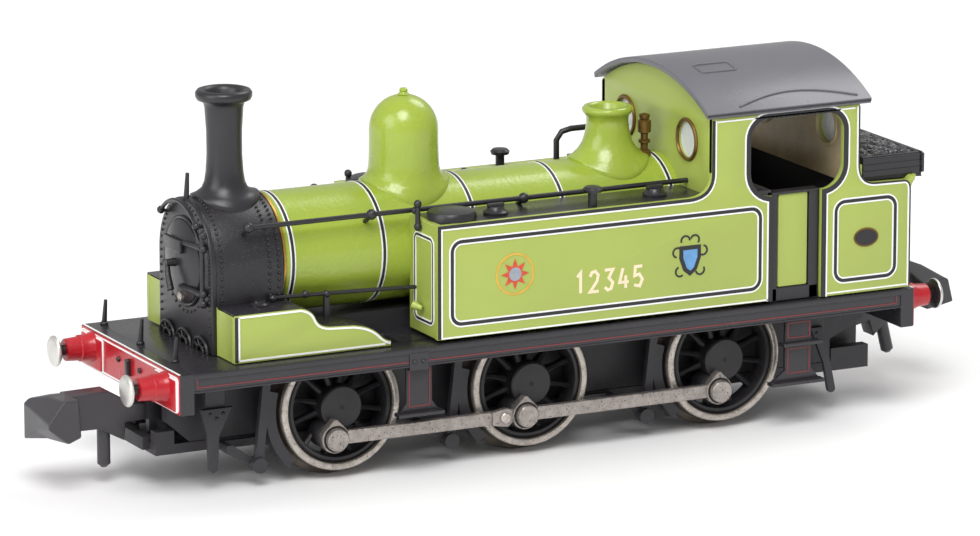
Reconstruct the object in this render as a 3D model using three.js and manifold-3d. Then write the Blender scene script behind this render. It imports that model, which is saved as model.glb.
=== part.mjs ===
// Model steam locomotive: an 0-6-0 side tank engine for 9 mm gauge track, 1:148 scale.
// Millimetres. X runs forward along the engine, Y to its left, Z up from the wheel flanges' lowest point.
// Places along X are measured from the middle axle; the last lines centre the whole engine on X = 0.
import * as THREE from 'three';
import { mergeVertices } from 'three/addons/utils/BufferGeometryUtils.js';
import Module from 'manifold-3d';

const wasm = await Module();
wasm.setup();

// ---------------------------------------------------------------- driving dimensions

const axles = { front: 13.73, middle: 0, rear: -14.42 };
const flangeRadius = 4.75;
const treadRadius = 4.22;
const axleHeight = flangeRadius;
const axleRadius = 0.75;
const crankThrow = 2.0;
const crankAngle = -1.158;            // left side, from +X towards +Z; the right side is a quarter turn on
const wheelInnerY = 3.7;
const wheelOuterY = 5.6;

const deckTop = 8.71;                 // footplate upper surface
const deckThickness = 0.45;
const deckHalfWidth = 7.88;
const valanceBottom = 7.46;
const valanceThickness = 0.55;
const beamBottom = 6.06;
const frontBeamFace = 26.06;
const rearBeamFace = -27.66;
const beamThickness = 1.0;

const bufferY = 5.87;
const bufferHeight = 7.62;
const bufferReach = 2.9;              // head face ahead of the beam face
const bufferHeadRadius = 1.06;

const boilerRadius = 3.95;
const boilerBore = 3.3;
const boilerHeight = 14.15;
const smokeboxRadius = 4.15;
const smokeboxFront = 22.14;
const smokeboxRear = 17.0;
const cabFront = -12.23;
const cabRear = -23.39;
const cabHalfWidth = 7.72;
const cabSideTop = 21.62;
const cabWall = 0.5;
const roofRise = 2.2;                 // crown above the eaves

const tankFront = 7.82;
const tankRear = -16.85;
const tankInnerY = 3.8;
const tankTop = 16.48;
const bunkerFront = -20.6;
const bunkerRear = -27.37;
const bunkerTop = 16.15;

const wormWheelHeight = 10.15;
const wormRadius = 0.95;

const gap = 0.05;                     // clearance left between pieces that touch

// ---------------------------------------------------------------- finishes

const finish = (color, roughness, metalness = 0) =>
  () => new THREE.MeshStandardMaterial({ color, roughness, metalness });

const green = finish(0xaac45a, 0.42);
const black = finish(0x2b2a2c, 0.5);
const roofGrey = finish(0x3c3c40, 0.6);
const red = finish(0xc01522, 0.4);
const silver = finish(0xd0cec8, 0.35, 0.9);
const steel = finish(0x8c8882, 0.4, 0.9);
const brass = finish(0xb08a3c, 0.35, 0.9);
const beige = finish(0xb49c78, 0.7);
const coalBlack = finish(0x1b1b1c, 0.8);
const zinc = finish(0x4a4a4c, 0.6, 0.4);
const gearPlastic = finish(0xe6e2d6, 0.5);

// ---------------------------------------------------------------- solids from three.js shapes

function solid(geometry) {
  const plain = geometry.clone();
  plain.deleteAttribute('normal');
  plain.deleteAttribute('uv');
  const merged = mergeVertices(plain, 1e-4);
  const corners = [];
  for (let i = 0; i < merged.index.count; i += 3) {
    const [a, b, c] = [0, 1, 2].map((k) => merged.index.getX(i + k));
    if (a !== b && b !== c && c !== a) {
      corners.push(a, b, c);
    }
  }
  return new wasm.Manifold(new wasm.Mesh({
    numProp: 3,
    vertProperties: Float32Array.from(merged.attributes.position.array),
    triVerts: Uint32Array.from(corners),
  }));
}

const join = (solids) => solids.reduce((whole, next) => whole.add(next));

function box([x0, x1], [y0, y1], [z0, z1]) {
  const geometry = new THREE.BoxGeometry(Math.abs(x1 - x0), Math.abs(y1 - y0), Math.abs(z1 - z0));
  return solid(geometry.translate((x0 + x1) / 2, (y0 + y1) / 2, (z0 + z1) / 2));
}

function extruded(shape, depth, curveSegments = 8) {
  return new THREE.ExtrudeGeometry(shape, { depth, bevelEnabled: false, curveSegments });
}

// A shape drawn in X, Z and extruded across the engine from y0 to y1.
function acrossY(shape, y0, y1, curveSegments) {
  return solid(extruded(shape, y1 - y0, curveSegments).rotateX(Math.PI / 2).translate(0, y1, 0));
}

// A shape drawn in Y, Z and extruded along the engine from x0 to x1.
function alongX(shape, x0, x1, curveSegments) {
  const turn = new THREE.Matrix4().makeBasis(
    new THREE.Vector3(0, 1, 0), new THREE.Vector3(0, 0, 1), new THREE.Vector3(1, 0, 0));
  return solid(extruded(shape, x1 - x0, curveSegments).applyMatrix4(turn).translate(x0, 0, 0));
}

// A shape drawn in X, Y and extruded upwards from z0 to z1.
function upZ(shape, z0, z1, curveSegments) {
  return solid(extruded(shape, z1 - z0, curveSegments).translate(0, 0, z0));
}

// Turned pieces: the profile is [radius, place along the axis], anticlockwise from the low end.
const lathe = (profile, segments) =>
  new THREE.LatheGeometry(profile.map(([r, t]) => new THREE.Vector2(r, t)), segments);

const turnedX = (profile, y, z, segments = 24) =>
  solid(lathe(profile, segments).rotateZ(-Math.PI / 2).translate(0, y, z));

const turnedY = (profile, x, z, segments = 24) => solid(lathe(profile, segments).translate(x, 0, z));

const turnedZ = (profile, x, y, segments = 24) =>
  solid(lathe(profile, segments).rotateX(Math.PI / 2).translate(x, y, 0));

const rodX = (radius, x0, x1, y, z, segments) =>
  turnedX([[0, x0], [radius, x0], [radius, x1], [0, x1]], y, z, segments);

const rodY = (radius, y0, y1, x, z, segments) =>
  turnedY([[0, y0], [radius, y0], [radius, y1], [0, y1]], x, z, segments);

const rodZ = (radius, z0, z1, x, y, segments) =>
  turnedZ([[0, z0], [radius, z0], [radius, z1], [0, z1]], x, y, segments);

function outline(points) {
  const shape = new THREE.Shape();
  points.forEach(([u, v], i) => (i === 0 ? shape.moveTo(u, v) : shape.lineTo(u, v)));
  return shape;
}

function roundedRectangle(u0, u1, v0, v1, r) {
  const shape = new THREE.Shape();
  shape.absarc(u1 - r, v0 + r, r, -Math.PI / 2, 0);
  shape.absarc(u1 - r, v1 - r, r, 0, Math.PI / 2);
  shape.absarc(u0 + r, v1 - r, r, Math.PI / 2, Math.PI);
  shape.absarc(u0 + r, v0 + r, r, Math.PI, 1.5 * Math.PI);
  return shape;
}

const mirrorY = (piece) => piece.mirror([0, 1, 0]);
const bothSides = (piece) => piece.add(mirrorY(piece));

const engine = new THREE.Group();

function place(name, piece, material) {
  const mesh = piece.getMesh();
  const geometry = new THREE.BufferGeometry();
  geometry.setAttribute('position', new THREE.BufferAttribute(mesh.vertProperties, 3));
  geometry.setIndex(new THREE.BufferAttribute(mesh.triVerts, 1));
  geometry.computeVertexNormals();
  const node = new THREE.Mesh(geometry, material());
  node.name = name;
  engine.add(node);
}

function placePair(name, leftPiece, material) {
  place(`left_${name}`, leftPiece, material);
  place(`right_${name}`, mirrorY(leftPiece), material);
}

// ---------------------------------------------------------------- shared cutting shapes

// Room above the footplate for the tops of the six wheels.
function wheelWells() {
  const wells = Object.values(axles).map((x) =>
    bothSides(rodY(flangeRadius + 0.3, wheelInnerY - 0.2, wheelOuterY + 0.4, x, axleHeight, 24)));
  return join(wells);
}

const boilerBarrel = (radius) => rodX(radius, cabFront, smokeboxFront, 0, boilerHeight, 40);

// The cab's end view: flat sides with an arched crown of the given rise.
function archedEnd(halfWidth, bottom, sideTop, rise) {
  const radius = (halfWidth ** 2 + rise ** 2) / (2 * rise);
  const half = Math.asin(halfWidth / radius);
  const shape = new THREE.Shape();
  shape.moveTo(-halfWidth, bottom);
  shape.lineTo(halfWidth, bottom);
  shape.absarc(0, sideTop + rise - radius, radius, Math.PI / 2 - half, Math.PI / 2 + half);
  return shape;
}

// ---------------------------------------------------------------- running gear

// One wheel of the left side, with its axle at X = 0: flanged tyre, twelve spokes, hub and crank boss.
function wheel(crank) {
  const rimInner = 3.45;
  const tyre = turnedY([
    [rimInner, wheelInnerY], [flangeRadius, wheelInnerY], [flangeRadius - 0.12, wheelInnerY + 0.5],
    [treadRadius, wheelInnerY + 0.65], [treadRadius - 0.04, wheelOuterY], [rimInner, wheelOuterY],
    [rimInner, wheelInnerY],
  ], 0, 0, 32);
  const hub = rodY(1.5, wheelInnerY, wheelOuterY, 0, 0, 16);
  const spokes = Array.from({ length: 6 }, (_, i) =>
    box([-rimInner - 0.1, rimInner + 0.1], [4.1, 5.3], [-0.2, 0.2]).rotate([0, 12 + 30 * i, 0]));
  const boss = rodY(1.0, 4.1, wheelOuterY, crank.x, crank.z, 12);
  const axleHole = rodY(axleRadius + 0.02, 3, 6, 0, 0, 12);
  const pinHole = rodY(0.37, 4.5, 6, crank.x, crank.z, 8);
  return join([tyre, hub, ...spokes, boss]).subtract(axleHole).subtract(pinHole);
}

// The crank pin: a shank pressed into the wheel, with a turned head outside the rod.
function crankPin(crank) {
  return turnedY([
    [0, 4.6], [0.35, 4.6], [0.35, 6.62], [0.82, 6.62], [0.82, 6.92], [0, 6.92],
  ], crank.x, crank.z, 12);
}

function crankOffset(angle) {
  return { x: crankThrow * Math.cos(angle), z: crankThrow * Math.sin(angle) };
}

const leftCrank = crankOffset(crankAngle);
const rightCrank = crankOffset(crankAngle + Math.PI / 2);

function placeWheelsets() {
  for (const [end, x] of Object.entries(axles)) {
    const move = (piece) => piece.translate([x, 0, axleHeight]);
    place(`${end}_left_wheel`, move(wheel(leftCrank)), steel);
    place(`${end}_right_wheel`, move(mirrorY(wheel(rightCrank))), steel);
    place(`${end}_left_crank_pin`, move(crankPin(leftCrank)), steel);
    place(`${end}_right_crank_pin`, move(mirrorY(crankPin(rightCrank))), steel);
    place(`${end}_axle`, move(rodY(axleRadius, -wheelOuterY + 0.1, wheelOuterY - 0.1, 0, 0, 12)), steel);
  }
}

// Coupling rods: each side has two, hinged at a fork just ahead of the middle crank pin.
const knuckleX = 1.56;
const rodHalfHeight = 0.41;
const bossRadius = 0.97;

// A rod end in X, Z about its pin, with the pointed oil cup above it.
function rodEnd(x) {
  const eye = new THREE.Shape();
  eye.absarc(x, 0, bossRadius, 0.72 * Math.PI, 2.28 * Math.PI);
  eye.lineTo(x + 0.3, bossRadius + 0.1);
  eye.lineTo(x, bossRadius + 0.28);
  eye.lineTo(x - 0.3, bossRadius + 0.1);
  return eye;
}

function couplingRod(pins, from, to, y0, y1) {
  const bar = box([from, to], [y0, y1], [-rodHalfHeight, rodHalfHeight]);
  const eyes = pins.map((x) => acrossY(rodEnd(x), 5.85, 6.55, 7));
  const bores = pins.map((x) => rodY(0.35 + gap, 5, 7, x, 0, 12));
  return join([bar, ...eyes]).subtract(join(bores));
}

function rearRod() {
  const tongue = rodY(0.56, 5.95, 6.18, knuckleX, 0, 12);
  const neck = box([0.7, knuckleX], [5.95, 6.18], [-rodHalfHeight, rodHalfHeight]);
  const rivet = rodY(0.2, 5.95, 6.5, knuckleX, 0, 8);
  return join([couplingRod([axles.middle, axles.rear], axles.rear, 0, 5.95, 6.45), tongue, neck, rivet]);
}

function frontRod() {
  const ear = rodY(0.56, 6.23, 6.45, knuckleX, 0, 12);
  const start = knuckleX + 0.75;
  const lug = box([knuckleX, start + 0.1], [6.23, 6.45], [-rodHalfHeight, rodHalfHeight]);
  const rivetHole = rodY(0.26, 5, 7, knuckleX, 0, 8);
  const rod = couplingRod([axles.front], start, axles.front, 5.95, 6.45);
  return join([rod, ear, lug]).subtract(rivetHole);
}

function placeCouplingRods() {
  const atCrank = (piece, crank) => piece.translate([crank.x, 0, axleHeight + crank.z]);
  place('left_rear_rod', atCrank(rearRod(), leftCrank), steel);
  place('left_front_rod', atCrank(frontRod(), leftCrank), steel);
  place('right_rear_rod', atCrank(mirrorY(rearRod()), rightCrank), steel);
  place('right_front_rod', atCrank(mirrorY(frontRod()), rightCrank), steel);
}

// ---------------------------------------------------------------- drive

// A toothed disc in X, Z about its own axis.
function gearOutline(teeth, tipRadius, rootRadius) {
  const points = [];
  for (let i = 0; i < teeth; i += 1) {
    const middle = (2 * Math.PI * i) / teeth;
    const pitch = (2 * Math.PI) / teeth;
    for (const [share, radius] of [[-0.28, rootRadius], [-0.12, tipRadius], [0.12, tipRadius], [0.28, rootRadius]]) {
      const angle = middle + share * pitch;
      points.push([radius * Math.cos(angle), radius * Math.sin(angle)]);
    }
  }
  return outline(points);
}

function gear(teeth, tipRadius, rootRadius, halfWidth, bore, z) {
  return acrossY(gearOutline(teeth, tipRadius, rootRadius), -halfWidth, halfWidth)
    .subtract(rodY(bore, -3, 3, 0, 0, 16)).translate([0, 0, z]);
}

function placeDrive() {
  place('axle_gear', gear(16, 2.62, 2.05, 0.7, axleRadius + 0.02, axleHeight), gearPlastic);
  place('worm_wheel', gear(20, 2.7, 2.2, 0.7, 0.53, wormWheelHeight), gearPlastic);
  place('worm_wheel_shaft', rodY(0.48, -2.6, 2.6, 0, wormWheelHeight, 12), steel);
  place('motor', motor(), zinc);
  place('worm_shaft', wormShaft(), brass);
}

const motorFront = -3.4;
const motorRear = -11.6;

// A round can with flat sides, open along its axis for the armature shaft.
function motor() {
  const can = rodX(3.1, motorRear, motorFront, 0, boilerHeight, 28);
  const flats = box([motorRear, motorFront], [-2.6, 2.6], [boilerHeight - 3.2, boilerHeight + 3.2]);
  const nose = rodX(1.0, motorFront - 0.1, motorFront + 0.4, 0, boilerHeight, 16);
  const bore = rodX(0.42, motorRear - 1, motorFront + 1, 0, boilerHeight, 12);
  return can.intersect(flats).add(nose).subtract(bore);
}

// The armature shaft with the worm turned on its front end.
function wormShaft() {
  const threads = 4;
  const pitch = 0.94;
  const start = -(threads * pitch) / 2;
  const profile = [[0, motorRear + 0.2], [0.36, motorRear + 0.2], [0.36, start - 0.1], [0.6, start - 0.1]];
  for (let i = 0; i < threads; i += 1) {
    const x = start + i * pitch;
    profile.push([0.6, x], [wormRadius, x + 0.3], [wormRadius, x + 0.6], [0.6, x + 0.9]);
  }
  profile.push([0.6, -start + 0.1], [0.36, -start + 0.1], [0.36, -start + 1.0], [0, -start + 1.0]);
  return turnedX(profile, 0, boilerHeight, 12);
}

// ---------------------------------------------------------------- chassis

const frameHalf = 3.2;
const frameBottom = 3.05;

// The cast frame block between the wheels, slotted for the axles, the gears and the boiler underside.
function chassisBlock() {
  const side = outline([
    [24.9, 7.2], [24.9, 4.4], [23.4, frameBottom], [-23.9, frameBottom], [-23.9, 4.6],
    [-26.5, 5.8], [-26.5, 7.2],
  ]);
  const lower = acrossY(side, -frameHalf, frameHalf);
  const upper = box([-11.4, 16.6], [-2.2, 2.2], [7.1, 9.95]);
  const slots = Object.values(axles).map((x) =>
    box([x - axleRadius - gap, x + axleRadius + gap], [-4, 4], [2, axleHeight])
      .add(rodY(axleRadius + gap, -4, 4, x, axleHeight, 16)));
  const gearSlot = box([-3.2, 3.2], [-1.0, 1.0], [2, 12]);
  const shaftHole = rodY(0.53, -3, 3, 0, wormWheelHeight, 12);
  const couplerRoom = [[couplerPivotX, 1], [rearCouplerPivotX, -1]].map(([x, out]) =>
    box([x - out * 1.7, x + out * 3], [-2.3, 2.3], [2, 6.15]).add(rodZ(0.45, 6, 8, x, 0, 12)));
  const towers = box([-1.3, 1.3], [-2.2, 2.2], [9.5, 11.0]);
  return join([lower, upper, towers]).subtract(join([...slots, ...couplerRoom, gearSlot, shaftHole]));
}

// The cover under the axles, held by one screw at each end, with a window for the axle gear.
const keeperBottom = 2.35;
const keeperFront = 25.74;
const keeperRear = -26.9;
const screwPlaces = { front: 7.0, rear: -7.6 };

function keeperPlate() {
  const top = frameBottom - gap;
  const plate = box([keeperRear, keeperFront], [-frameHalf, frameHalf], [keeperBottom, top]);
  const nose = box([keeperFront - 0.3, keeperFront + 0.45], [-2.1, 2.1], [keeperBottom + 0.2, 3.4]);
  const cheeks = [[24.45, keeperFront], [keeperRear, -24.0]].map((x) =>
    bothSides(box(x, [2.4, frameHalf], [top - 0.1, 3.9])));
  const window = box([-3.0, 3.0], [-1.0, 1.0], [1, 4]);
  const holes = Object.values(screwPlaces).map((x) => rodZ(0.62, 1, 4, x, 0, 12));
  return join([plate, nose, ...cheeks]).subtract(join([window, ...holes]));
}

function keeperScrew(x) {
  const head = rodZ(0.56, keeperBottom + 0.05, keeperBottom + 0.45, x, 0, 12);
  const shank = rodZ(0.35, keeperBottom + 0.4, frameBottom - 0.02, x, 0, 8);
  const slot = box([x - 0.12, x + 0.12], [-0.6, 0.6], [1, keeperBottom + 0.2]);
  return head.add(shank).subtract(slot);
}

// Brake gear of the left side. A hanger ahead of each wheel carries the block and ends in a pivot; a stay
// rises from the pivot to the pull rod, which runs along the keeper plate behind the wheels.
function brakeGear() {
  const reach = treadRadius + 0.25;
  const pull = { x: 7.4, z: 2.4 };
  const hangers = Object.values(axles).map((x) => {
    const curve = new THREE.Shape();
    curve.absarc(x, axleHeight, reach, -0.8, 0.3, false);
    curve.absarc(x, axleHeight, reach + 0.7, 0.3, -0.8, true);
    const block = acrossY(curve, 4.3, 5.2, 4);
    const hanger = acrossY(outline([
      [x + 4.7, 8.15], [x + 5.25, 8.15], [x + 6.0, 1.6], [x + 5.4, 1.6],
    ]), 4.9, 5.3);
    const bracket = box([x + 4.7, x + 5.5], [4.6, 5.2], [4.4, 5.2]);
    const pivot = rodY(0.52, 4.6, 5.5, x + 5.7, 1.5, 12);
    const stay = acrossY(outline([
      [x + 5.7, 1.3], [x + 5.7, 1.75], [x + pull.x, 2.9], [x + pull.x + 0.4, 2.9],
      [x + pull.x + 0.4, pull.z],
    ]), 4.6, 4.9);
    const crossBar = box([x + pull.x, x + pull.x + 0.4], [3.3, 4.9], [pull.z, 2.9]);
    return join([block, hanger, bracket, pivot, stay, crossBar]);
  });
  const rod = box([axles.rear + pull.x, axles.front + pull.x + 0.4], [3.28, 3.6], [pull.z, 2.9]);
  const clear = Object.values(axles).map((x) => rodY(flangeRadius + 0.12, 3.62, 4.42, x, axleHeight, 20));
  return join([...hangers, rod]).subtract(join(clear));
}

// ---------------------------------------------------------------- footplate, beams and buffers

// Front footstep: a tab over the valance, a narrow plate that flares at its foot, and one tread.
function frontStep() {
  const tab = box([8.6, 9.95], [7.3, 7.95], [7.2, 8.4]);
  const plate = acrossY(outline([
    [8.15, 7.6], [10.0, 7.6], [10.0, 5.0], [10.5, 4.3], [7.6, 4.3], [8.15, 5.0],
  ]), 7.2, 7.5);
  const tread = box([7.45, 10.75], [7.2, 8.0], [4.15, 4.4]);
  return join([tab, plate, tread]);
}

// Cab footsteps: a narrow plate that flares at its foot, and two treads.
function rearStep() {
  const plate = acrossY(outline([
    [-18.0, 8.3], [-20.0, 8.3], [-20.0, 4.0], [-20.7, 3.2], [-16.9, 3.2], [-18.0, 4.0],
  ]), 7.2, 7.5);
  const upper = box([-20.6, -17.65], [7.2, 8.0], [5.7, 5.95]);
  const lower = box([-20.8, -16.8], [7.2, 8.0], [3.05, 3.3]);
  return join([plate, upper, lower]);
}

// Guard irons ahead of the end wheels: a wide plate narrowing to a foot at the front, and a slim one that
// leans outwards at the rear. Both hang on a bracket under the footplate.
function guardIrons() {
  const front = outline([[23.36, 5.5], [22.9, 3.7], [22.8, 1.3], [22.15, 1.3], [22.05, 3.7], [21.12, 5.5]]);
  const rear = outline([[-21.4, 6.0], [-22.44, 3.4], [-22.78, 1.45], [-23.39, 1.55], [-22.95, 3.6], [-22.2, 6.0]]);
  const brackets = [[21.5, 22.9], [-22.6, -21.3]].map((x) => box(x, [4.2, 4.7], [5.2, 8.3]));
  return join([acrossY(front, 4.6, 5.0), acrossY(rear, 4.6, 5.0), ...brackets]);
}

function footplate() {
  const x0 = rearBeamFace + beamThickness + gap;
  const x1 = frontBeamFace - beamThickness - gap;
  const deck = box([x0, x1], [-deckHalfWidth, deckHalfWidth], [deckTop - deckThickness, deckTop]);
  const valance = box([x0, x1], [deckHalfWidth - valanceThickness, deckHalfWidth - 0.08],
    [valanceBottom, deckTop - 0.1]);
  const hung = [valance, frontStep(), rearStep(), guardIrons()].map(bothSides);
  const gearWindow = box([-11.5, 16.7], [-2.3, 2.3], [8, 9]);
  return join([deck, ...hung]).subtract(wheelWells()).subtract(gearWindow);
}

// A buffer beam with its two stepped housings and a draw-hook slot. "out" is +1 at the front, -1 behind.
function bufferBeam(face, out) {
  const plate = box([face - out * beamThickness, face], [-deckHalfWidth, deckHalfWidth], [beamBottom, deckTop]);
  const step = (d) => face + out * d;
  const profile = [[0, step(-0.2)], [1.05, step(-0.2)], [1.05, step(0.2)], [0.9, step(0.25)],
    [0.9, step(1.1)], [0.78, step(1.2)], [0.72, step(2.1)], [0, step(2.1)]];
  const housing = turnedX(out > 0 ? profile : profile.reverse(), bufferY, bufferHeight, 14);
  const bore = rodX(0.3, Math.min(step(1.0), step(2.5)), Math.max(step(1.0), step(2.5)), bufferY, bufferHeight, 8);
  const hookSlot = box([step(-1.2), step(0.2)], [-0.25, 0.25], [7.0, 8.1]);
  return plate.add(bothSides(housing)).subtract(bothSides(bore)).subtract(hookSlot);
}

function bufferHead(face, out, side) {
  const step = (d) => face + out * d;
  const profile = [[0, step(1.2)], [0.26, step(1.2)], [0.26, step(2.2)], [0.4, step(2.35)],
    [bufferHeadRadius, step(2.6)], [bufferHeadRadius, step(2.75)], [0.7, step(2.87)], [0, step(bufferReach)]];
  return turnedX(out > 0 ? profile : profile.reverse(), side * bufferY, bufferHeight, 16);
}

function placeBufferEnds() {
  for (const [end, face, out] of [['front', frontBeamFace, 1], ['rear', rearBeamFace, -1]]) {
    place(`${end}_beam`, bufferBeam(face, out), red);
    place(`${end}_left_buffer`, bufferHead(face, out, 1), silver);
    place(`${end}_right_buffer`, bufferHead(face, out, -1), silver);
  }
}

// ---------------------------------------------------------------- couplers

const couplerPivotX = 23.9;           // lift pin ahead of the middle axle, front end
const couplerPivotZ = 4.75;
const rearCouplerPivotX = -25.5;
const frontCouplerTip = 32.77;
const couplerRaised = 14;             // degrees the rear hook stands above level

// The front hook: a deep arm with a lifting peg, and a head that is wedge-nosed on its left half and blunt
// and lower on its right half.
function coupler() {
  const tail = couplerPivotX - 0.45;
  const arm = acrossY(outline([
    [tail, 5.3], [tail, 4.2], [26.75, 4.1], [26.85, 2.95], [28.6, 3.88], [30.7, 3.9], [30.7, 6.3],
    [27.94, 6.34], [26.7, 5.6], [26.2, 5.3],
  ]), -0.75, 0.75);
  const wedge = acrossY(outline([
    [frontCouplerTip, 4.81], [31.64, 6.4], [30.6, 6.4], [30.45, 3.9], [31.34, 3.55],
  ]), 0, 2.3);
  const blunt = acrossY(outline([
    [32.57, 3.1], [32.57, 5.5], [31.8, 6.3], [30.6, 6.4], [30.45, 3.9], [31.3, 3.1],
  ]), -2.3, 0.05);
  const peg = rodZ(0.43, 1.6, 4.3, 28.0, 0, 12).add(solid(
    new THREE.SphereGeometry(0.43, 12, 8).rotateX(Math.PI / 2).translate(28.0, 0, 1.6)));
  const pinHole = rodY(0.25, -1, 1, couplerPivotX, couplerPivotZ, 10);
  return join([arm, wedge, blunt, peg]).subtract(pinHole);
}

// The swinging pocket that holds the hook: a box open to the front, with the lift pin across it and a
// stub on top that turns in the frame block.
function couplerPocket() {
  const shell = box([22.95, 25.4], [-1.4, 1.4], [3.5, 6.0]);
  const mouth = box([23.25, 26], [-0.85, 0.85], [3.85, 5.65]);
  const lidCut = box([24.35, 26], [-1.5, 1.5], [5.6, 6.1]);
  const floorCut = box([24.6, 26], [-0.85, 0.85], [3.3, 3.9]);
  const pin = rodY(0.2, -1.2, 1.2, couplerPivotX, couplerPivotZ, 10);
  const stub = rodZ(0.4, 5.9, 6.9, couplerPivotX, 0, 12);
  return join([shell.subtract(join([mouth, lidCut, floorCut])), pin, stub]);
}

// The same pieces at the other end, pointing backwards.
function atRear(piece) {
  return piece.translate([-couplerPivotX, 0, -couplerPivotZ]).rotate([0, 0, 180])
    .translate([rearCouplerPivotX, 0, couplerPivotZ]);
}

function raised(piece) {
  return piece.translate([-couplerPivotX, 0, -couplerPivotZ]).rotate([0, -couplerRaised, 0])
    .translate([couplerPivotX, 0, couplerPivotZ]);
}

// ---------------------------------------------------------------- boiler and mountings

function smokebox() {
  const shape = (radius, bottom) => {
    const end = new THREE.Shape();
    end.moveTo(-radius, bottom);
    end.lineTo(radius, bottom);
    end.absarc(0, boilerHeight, radius, 0, Math.PI);
    return end;
  };
  const outer = alongX(shape(smokeboxRadius, deckTop + gap), smokeboxRear, smokeboxFront, 20);
  const inner = alongX(shape(smokeboxRadius - 0.9, deckTop + 0.9), smokeboxRear - 1, smokeboxFront - 0.7, 12);
  const doorSpigot = rodX(0.35, smokeboxFront - 1, smokeboxFront + 1, 0, boilerHeight, 12);
  return outer.subtract(inner).subtract(doorSpigot);
}

function smokeboxDoor() {
  const back = smokeboxFront + gap;
  return turnedX([[0, back - 0.5], [0.3, back - 0.5], [0.3, back], [2.75, back], [2.75, back + 0.22],
    [2.2, back + 0.42], [1.2, back + 0.58], [0, back + 0.62]], 0, boilerHeight, 20);
}

function boiler() {
  const length = [cabFront + gap, smokeboxRear - gap];
  const tube = rodX(boilerRadius, ...length, 0, boilerHeight, 40);
  const bore = rodX(boilerBore, length[0] - 1, length[1] + 1, 0, boilerHeight, 20);
  const gearSlot = box([-3.4, 3.4], [-2.4, 2.4], [9.9, 12.2]);
  return tube.subtract(bore).subtract(gearSlot);
}

// A turned mounting that stands on the boiler: its flared skirt is cut to sit on the barrel.
function saddled(profile, x, radius, segments = 20) {
  const barrel = rodX(radius + gap, x - 4, x + 4, 0, boilerHeight, 40);
  return turnedZ(profile, x, 0, segments).subtract(barrel);
}

const chimneyX = 19.29;
const domeX = 6.48;
const safetyValveX = -8.54;
const whistleX = -11.0;

function chimney() {
  return saddled([
    [0, 17.5], [2.1, 17.5], [2.1, 18.1], [1.6, 18.7], [1.25, 19.5], [1.12, 20.8], [1.3, 24.3],
    [1.82, 24.7], [1.82, 25.0], [1.55, 25.18], [1.15, 25.18], [0.85, 20], [0, 20],
  ], chimneyX, smokeboxRadius);
}

function dome() {
  const crownStart = 21.5;
  const crown = Array.from({ length: 5 }, (_, i) => {
    const angle = (i / 5) * (Math.PI / 2);
    return [2.27 * Math.cos(angle), crownStart + 2.2 * Math.sin(angle)];
  });
  return saddled([
    [0, 16.2], [2.95, 16.2], [2.95, 17.3], [2.6, 17.9], [2.35, 18.7], ...crown, [0.3, 23.66], [0, 24.08],
  ], domeX, boilerRadius);
}

function safetyValveBonnet() {
  return saddled([
    [0, 16.4], [2.65, 16.4], [2.65, 17.1], [2.2, 17.8], [1.65, 18.7], [1.38, 20.2], [1.66, 21.2],
    [1.5, 21.54], [1.15, 21.54], [0.95, 20.4], [0, 20.4],
  ], safetyValveX, boilerRadius);
}

function whistle() {
  return saddled([
    [0, 17.6], [0.4, 17.6], [0.4, 18.5], [0.22, 18.7], [0.22, 19.1], [0.42, 19.3], [0.42, 20.3], [0, 20.9],
  ], whistleX, boilerRadius, 10);
}

// A handrail with three knobs whose stems stand square to the boiler.
function handrail() {
  const railY = 4.32;
  const railZ = 16.92;
  const rail = rodX(0.16, cabFront + gap, 19.9, railY, railZ, 8);
  const stand = Math.hypot(railY, railZ - boilerHeight);
  const tilt = (Math.atan2(railZ - boilerHeight, railY) * 180) / Math.PI;
  const knobs = [[19.6, smokeboxRadius], [10.9, boilerRadius], [-0.1, boilerRadius]].map(([x, base]) => {
    const stem = rodY(0.17, base + 0.08, stand, 0, 0, 6);
    const ball = solid(new THREE.OctahedronGeometry(0.36, 1).translate(0, stand, 0));
    return stem.add(ball).rotate([tilt, 0, 0]).translate([x, 0, boilerHeight]);
  });
  return join([rail, ...knobs]);
}

// ---------------------------------------------------------------- tanks and sandboxes

function tank() {
  const outer = box([tankRear, tankFront], [tankInnerY, cabHalfWidth], [deckTop + gap, tankTop]);
  const inner = box([tankRear + 0.6, tankFront - 0.6], [tankInnerY + 0.6, cabHalfWidth - 0.6], [8, tankTop - 0.6]);
  const boilerRoom = boilerBarrel(boilerRadius + gap);
  return outer.subtract(inner).subtract(wheelWells()).subtract(boilerRoom);
}

// Sandbox and splasher over a front wheel: a level lid that sweeps down to a low tail.
function sandbox() {
  const side = new THREE.Shape();
  side.moveTo(10.6, deckTop + gap);
  side.lineTo(21.8, deckTop + gap);
  side.lineTo(21.8, 11.92);
  side.lineTo(17.16, 11.92);
  side.bezierCurveTo(16.2, 11.8, 16.2, 10.6, 15.1, 10.5);
  side.lineTo(13.4, 10.4);
  side.bezierCurveTo(12.4, 10.3, 11.9, 9.6, 10.6, 9.35);
  const plan = new THREE.Shape();
  const cornerRadius = 0.6;
  plan.moveTo(10.6, smokeboxRadius + 0.05);
  plan.lineTo(21.8, smokeboxRadius + 0.05);
  plan.lineTo(21.8, 6.9 - cornerRadius);
  plan.absarc(21.8 - cornerRadius, 6.9 - cornerRadius, cornerRadius, 0, Math.PI / 2);
  plan.lineTo(10.6, 6.9);
  return acrossY(side, 4, 7.2, 6).intersect(upZ(plan, 8, 13, 5)).subtract(wheelWells());
}

// ---------------------------------------------------------------- cab and bunker

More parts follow.
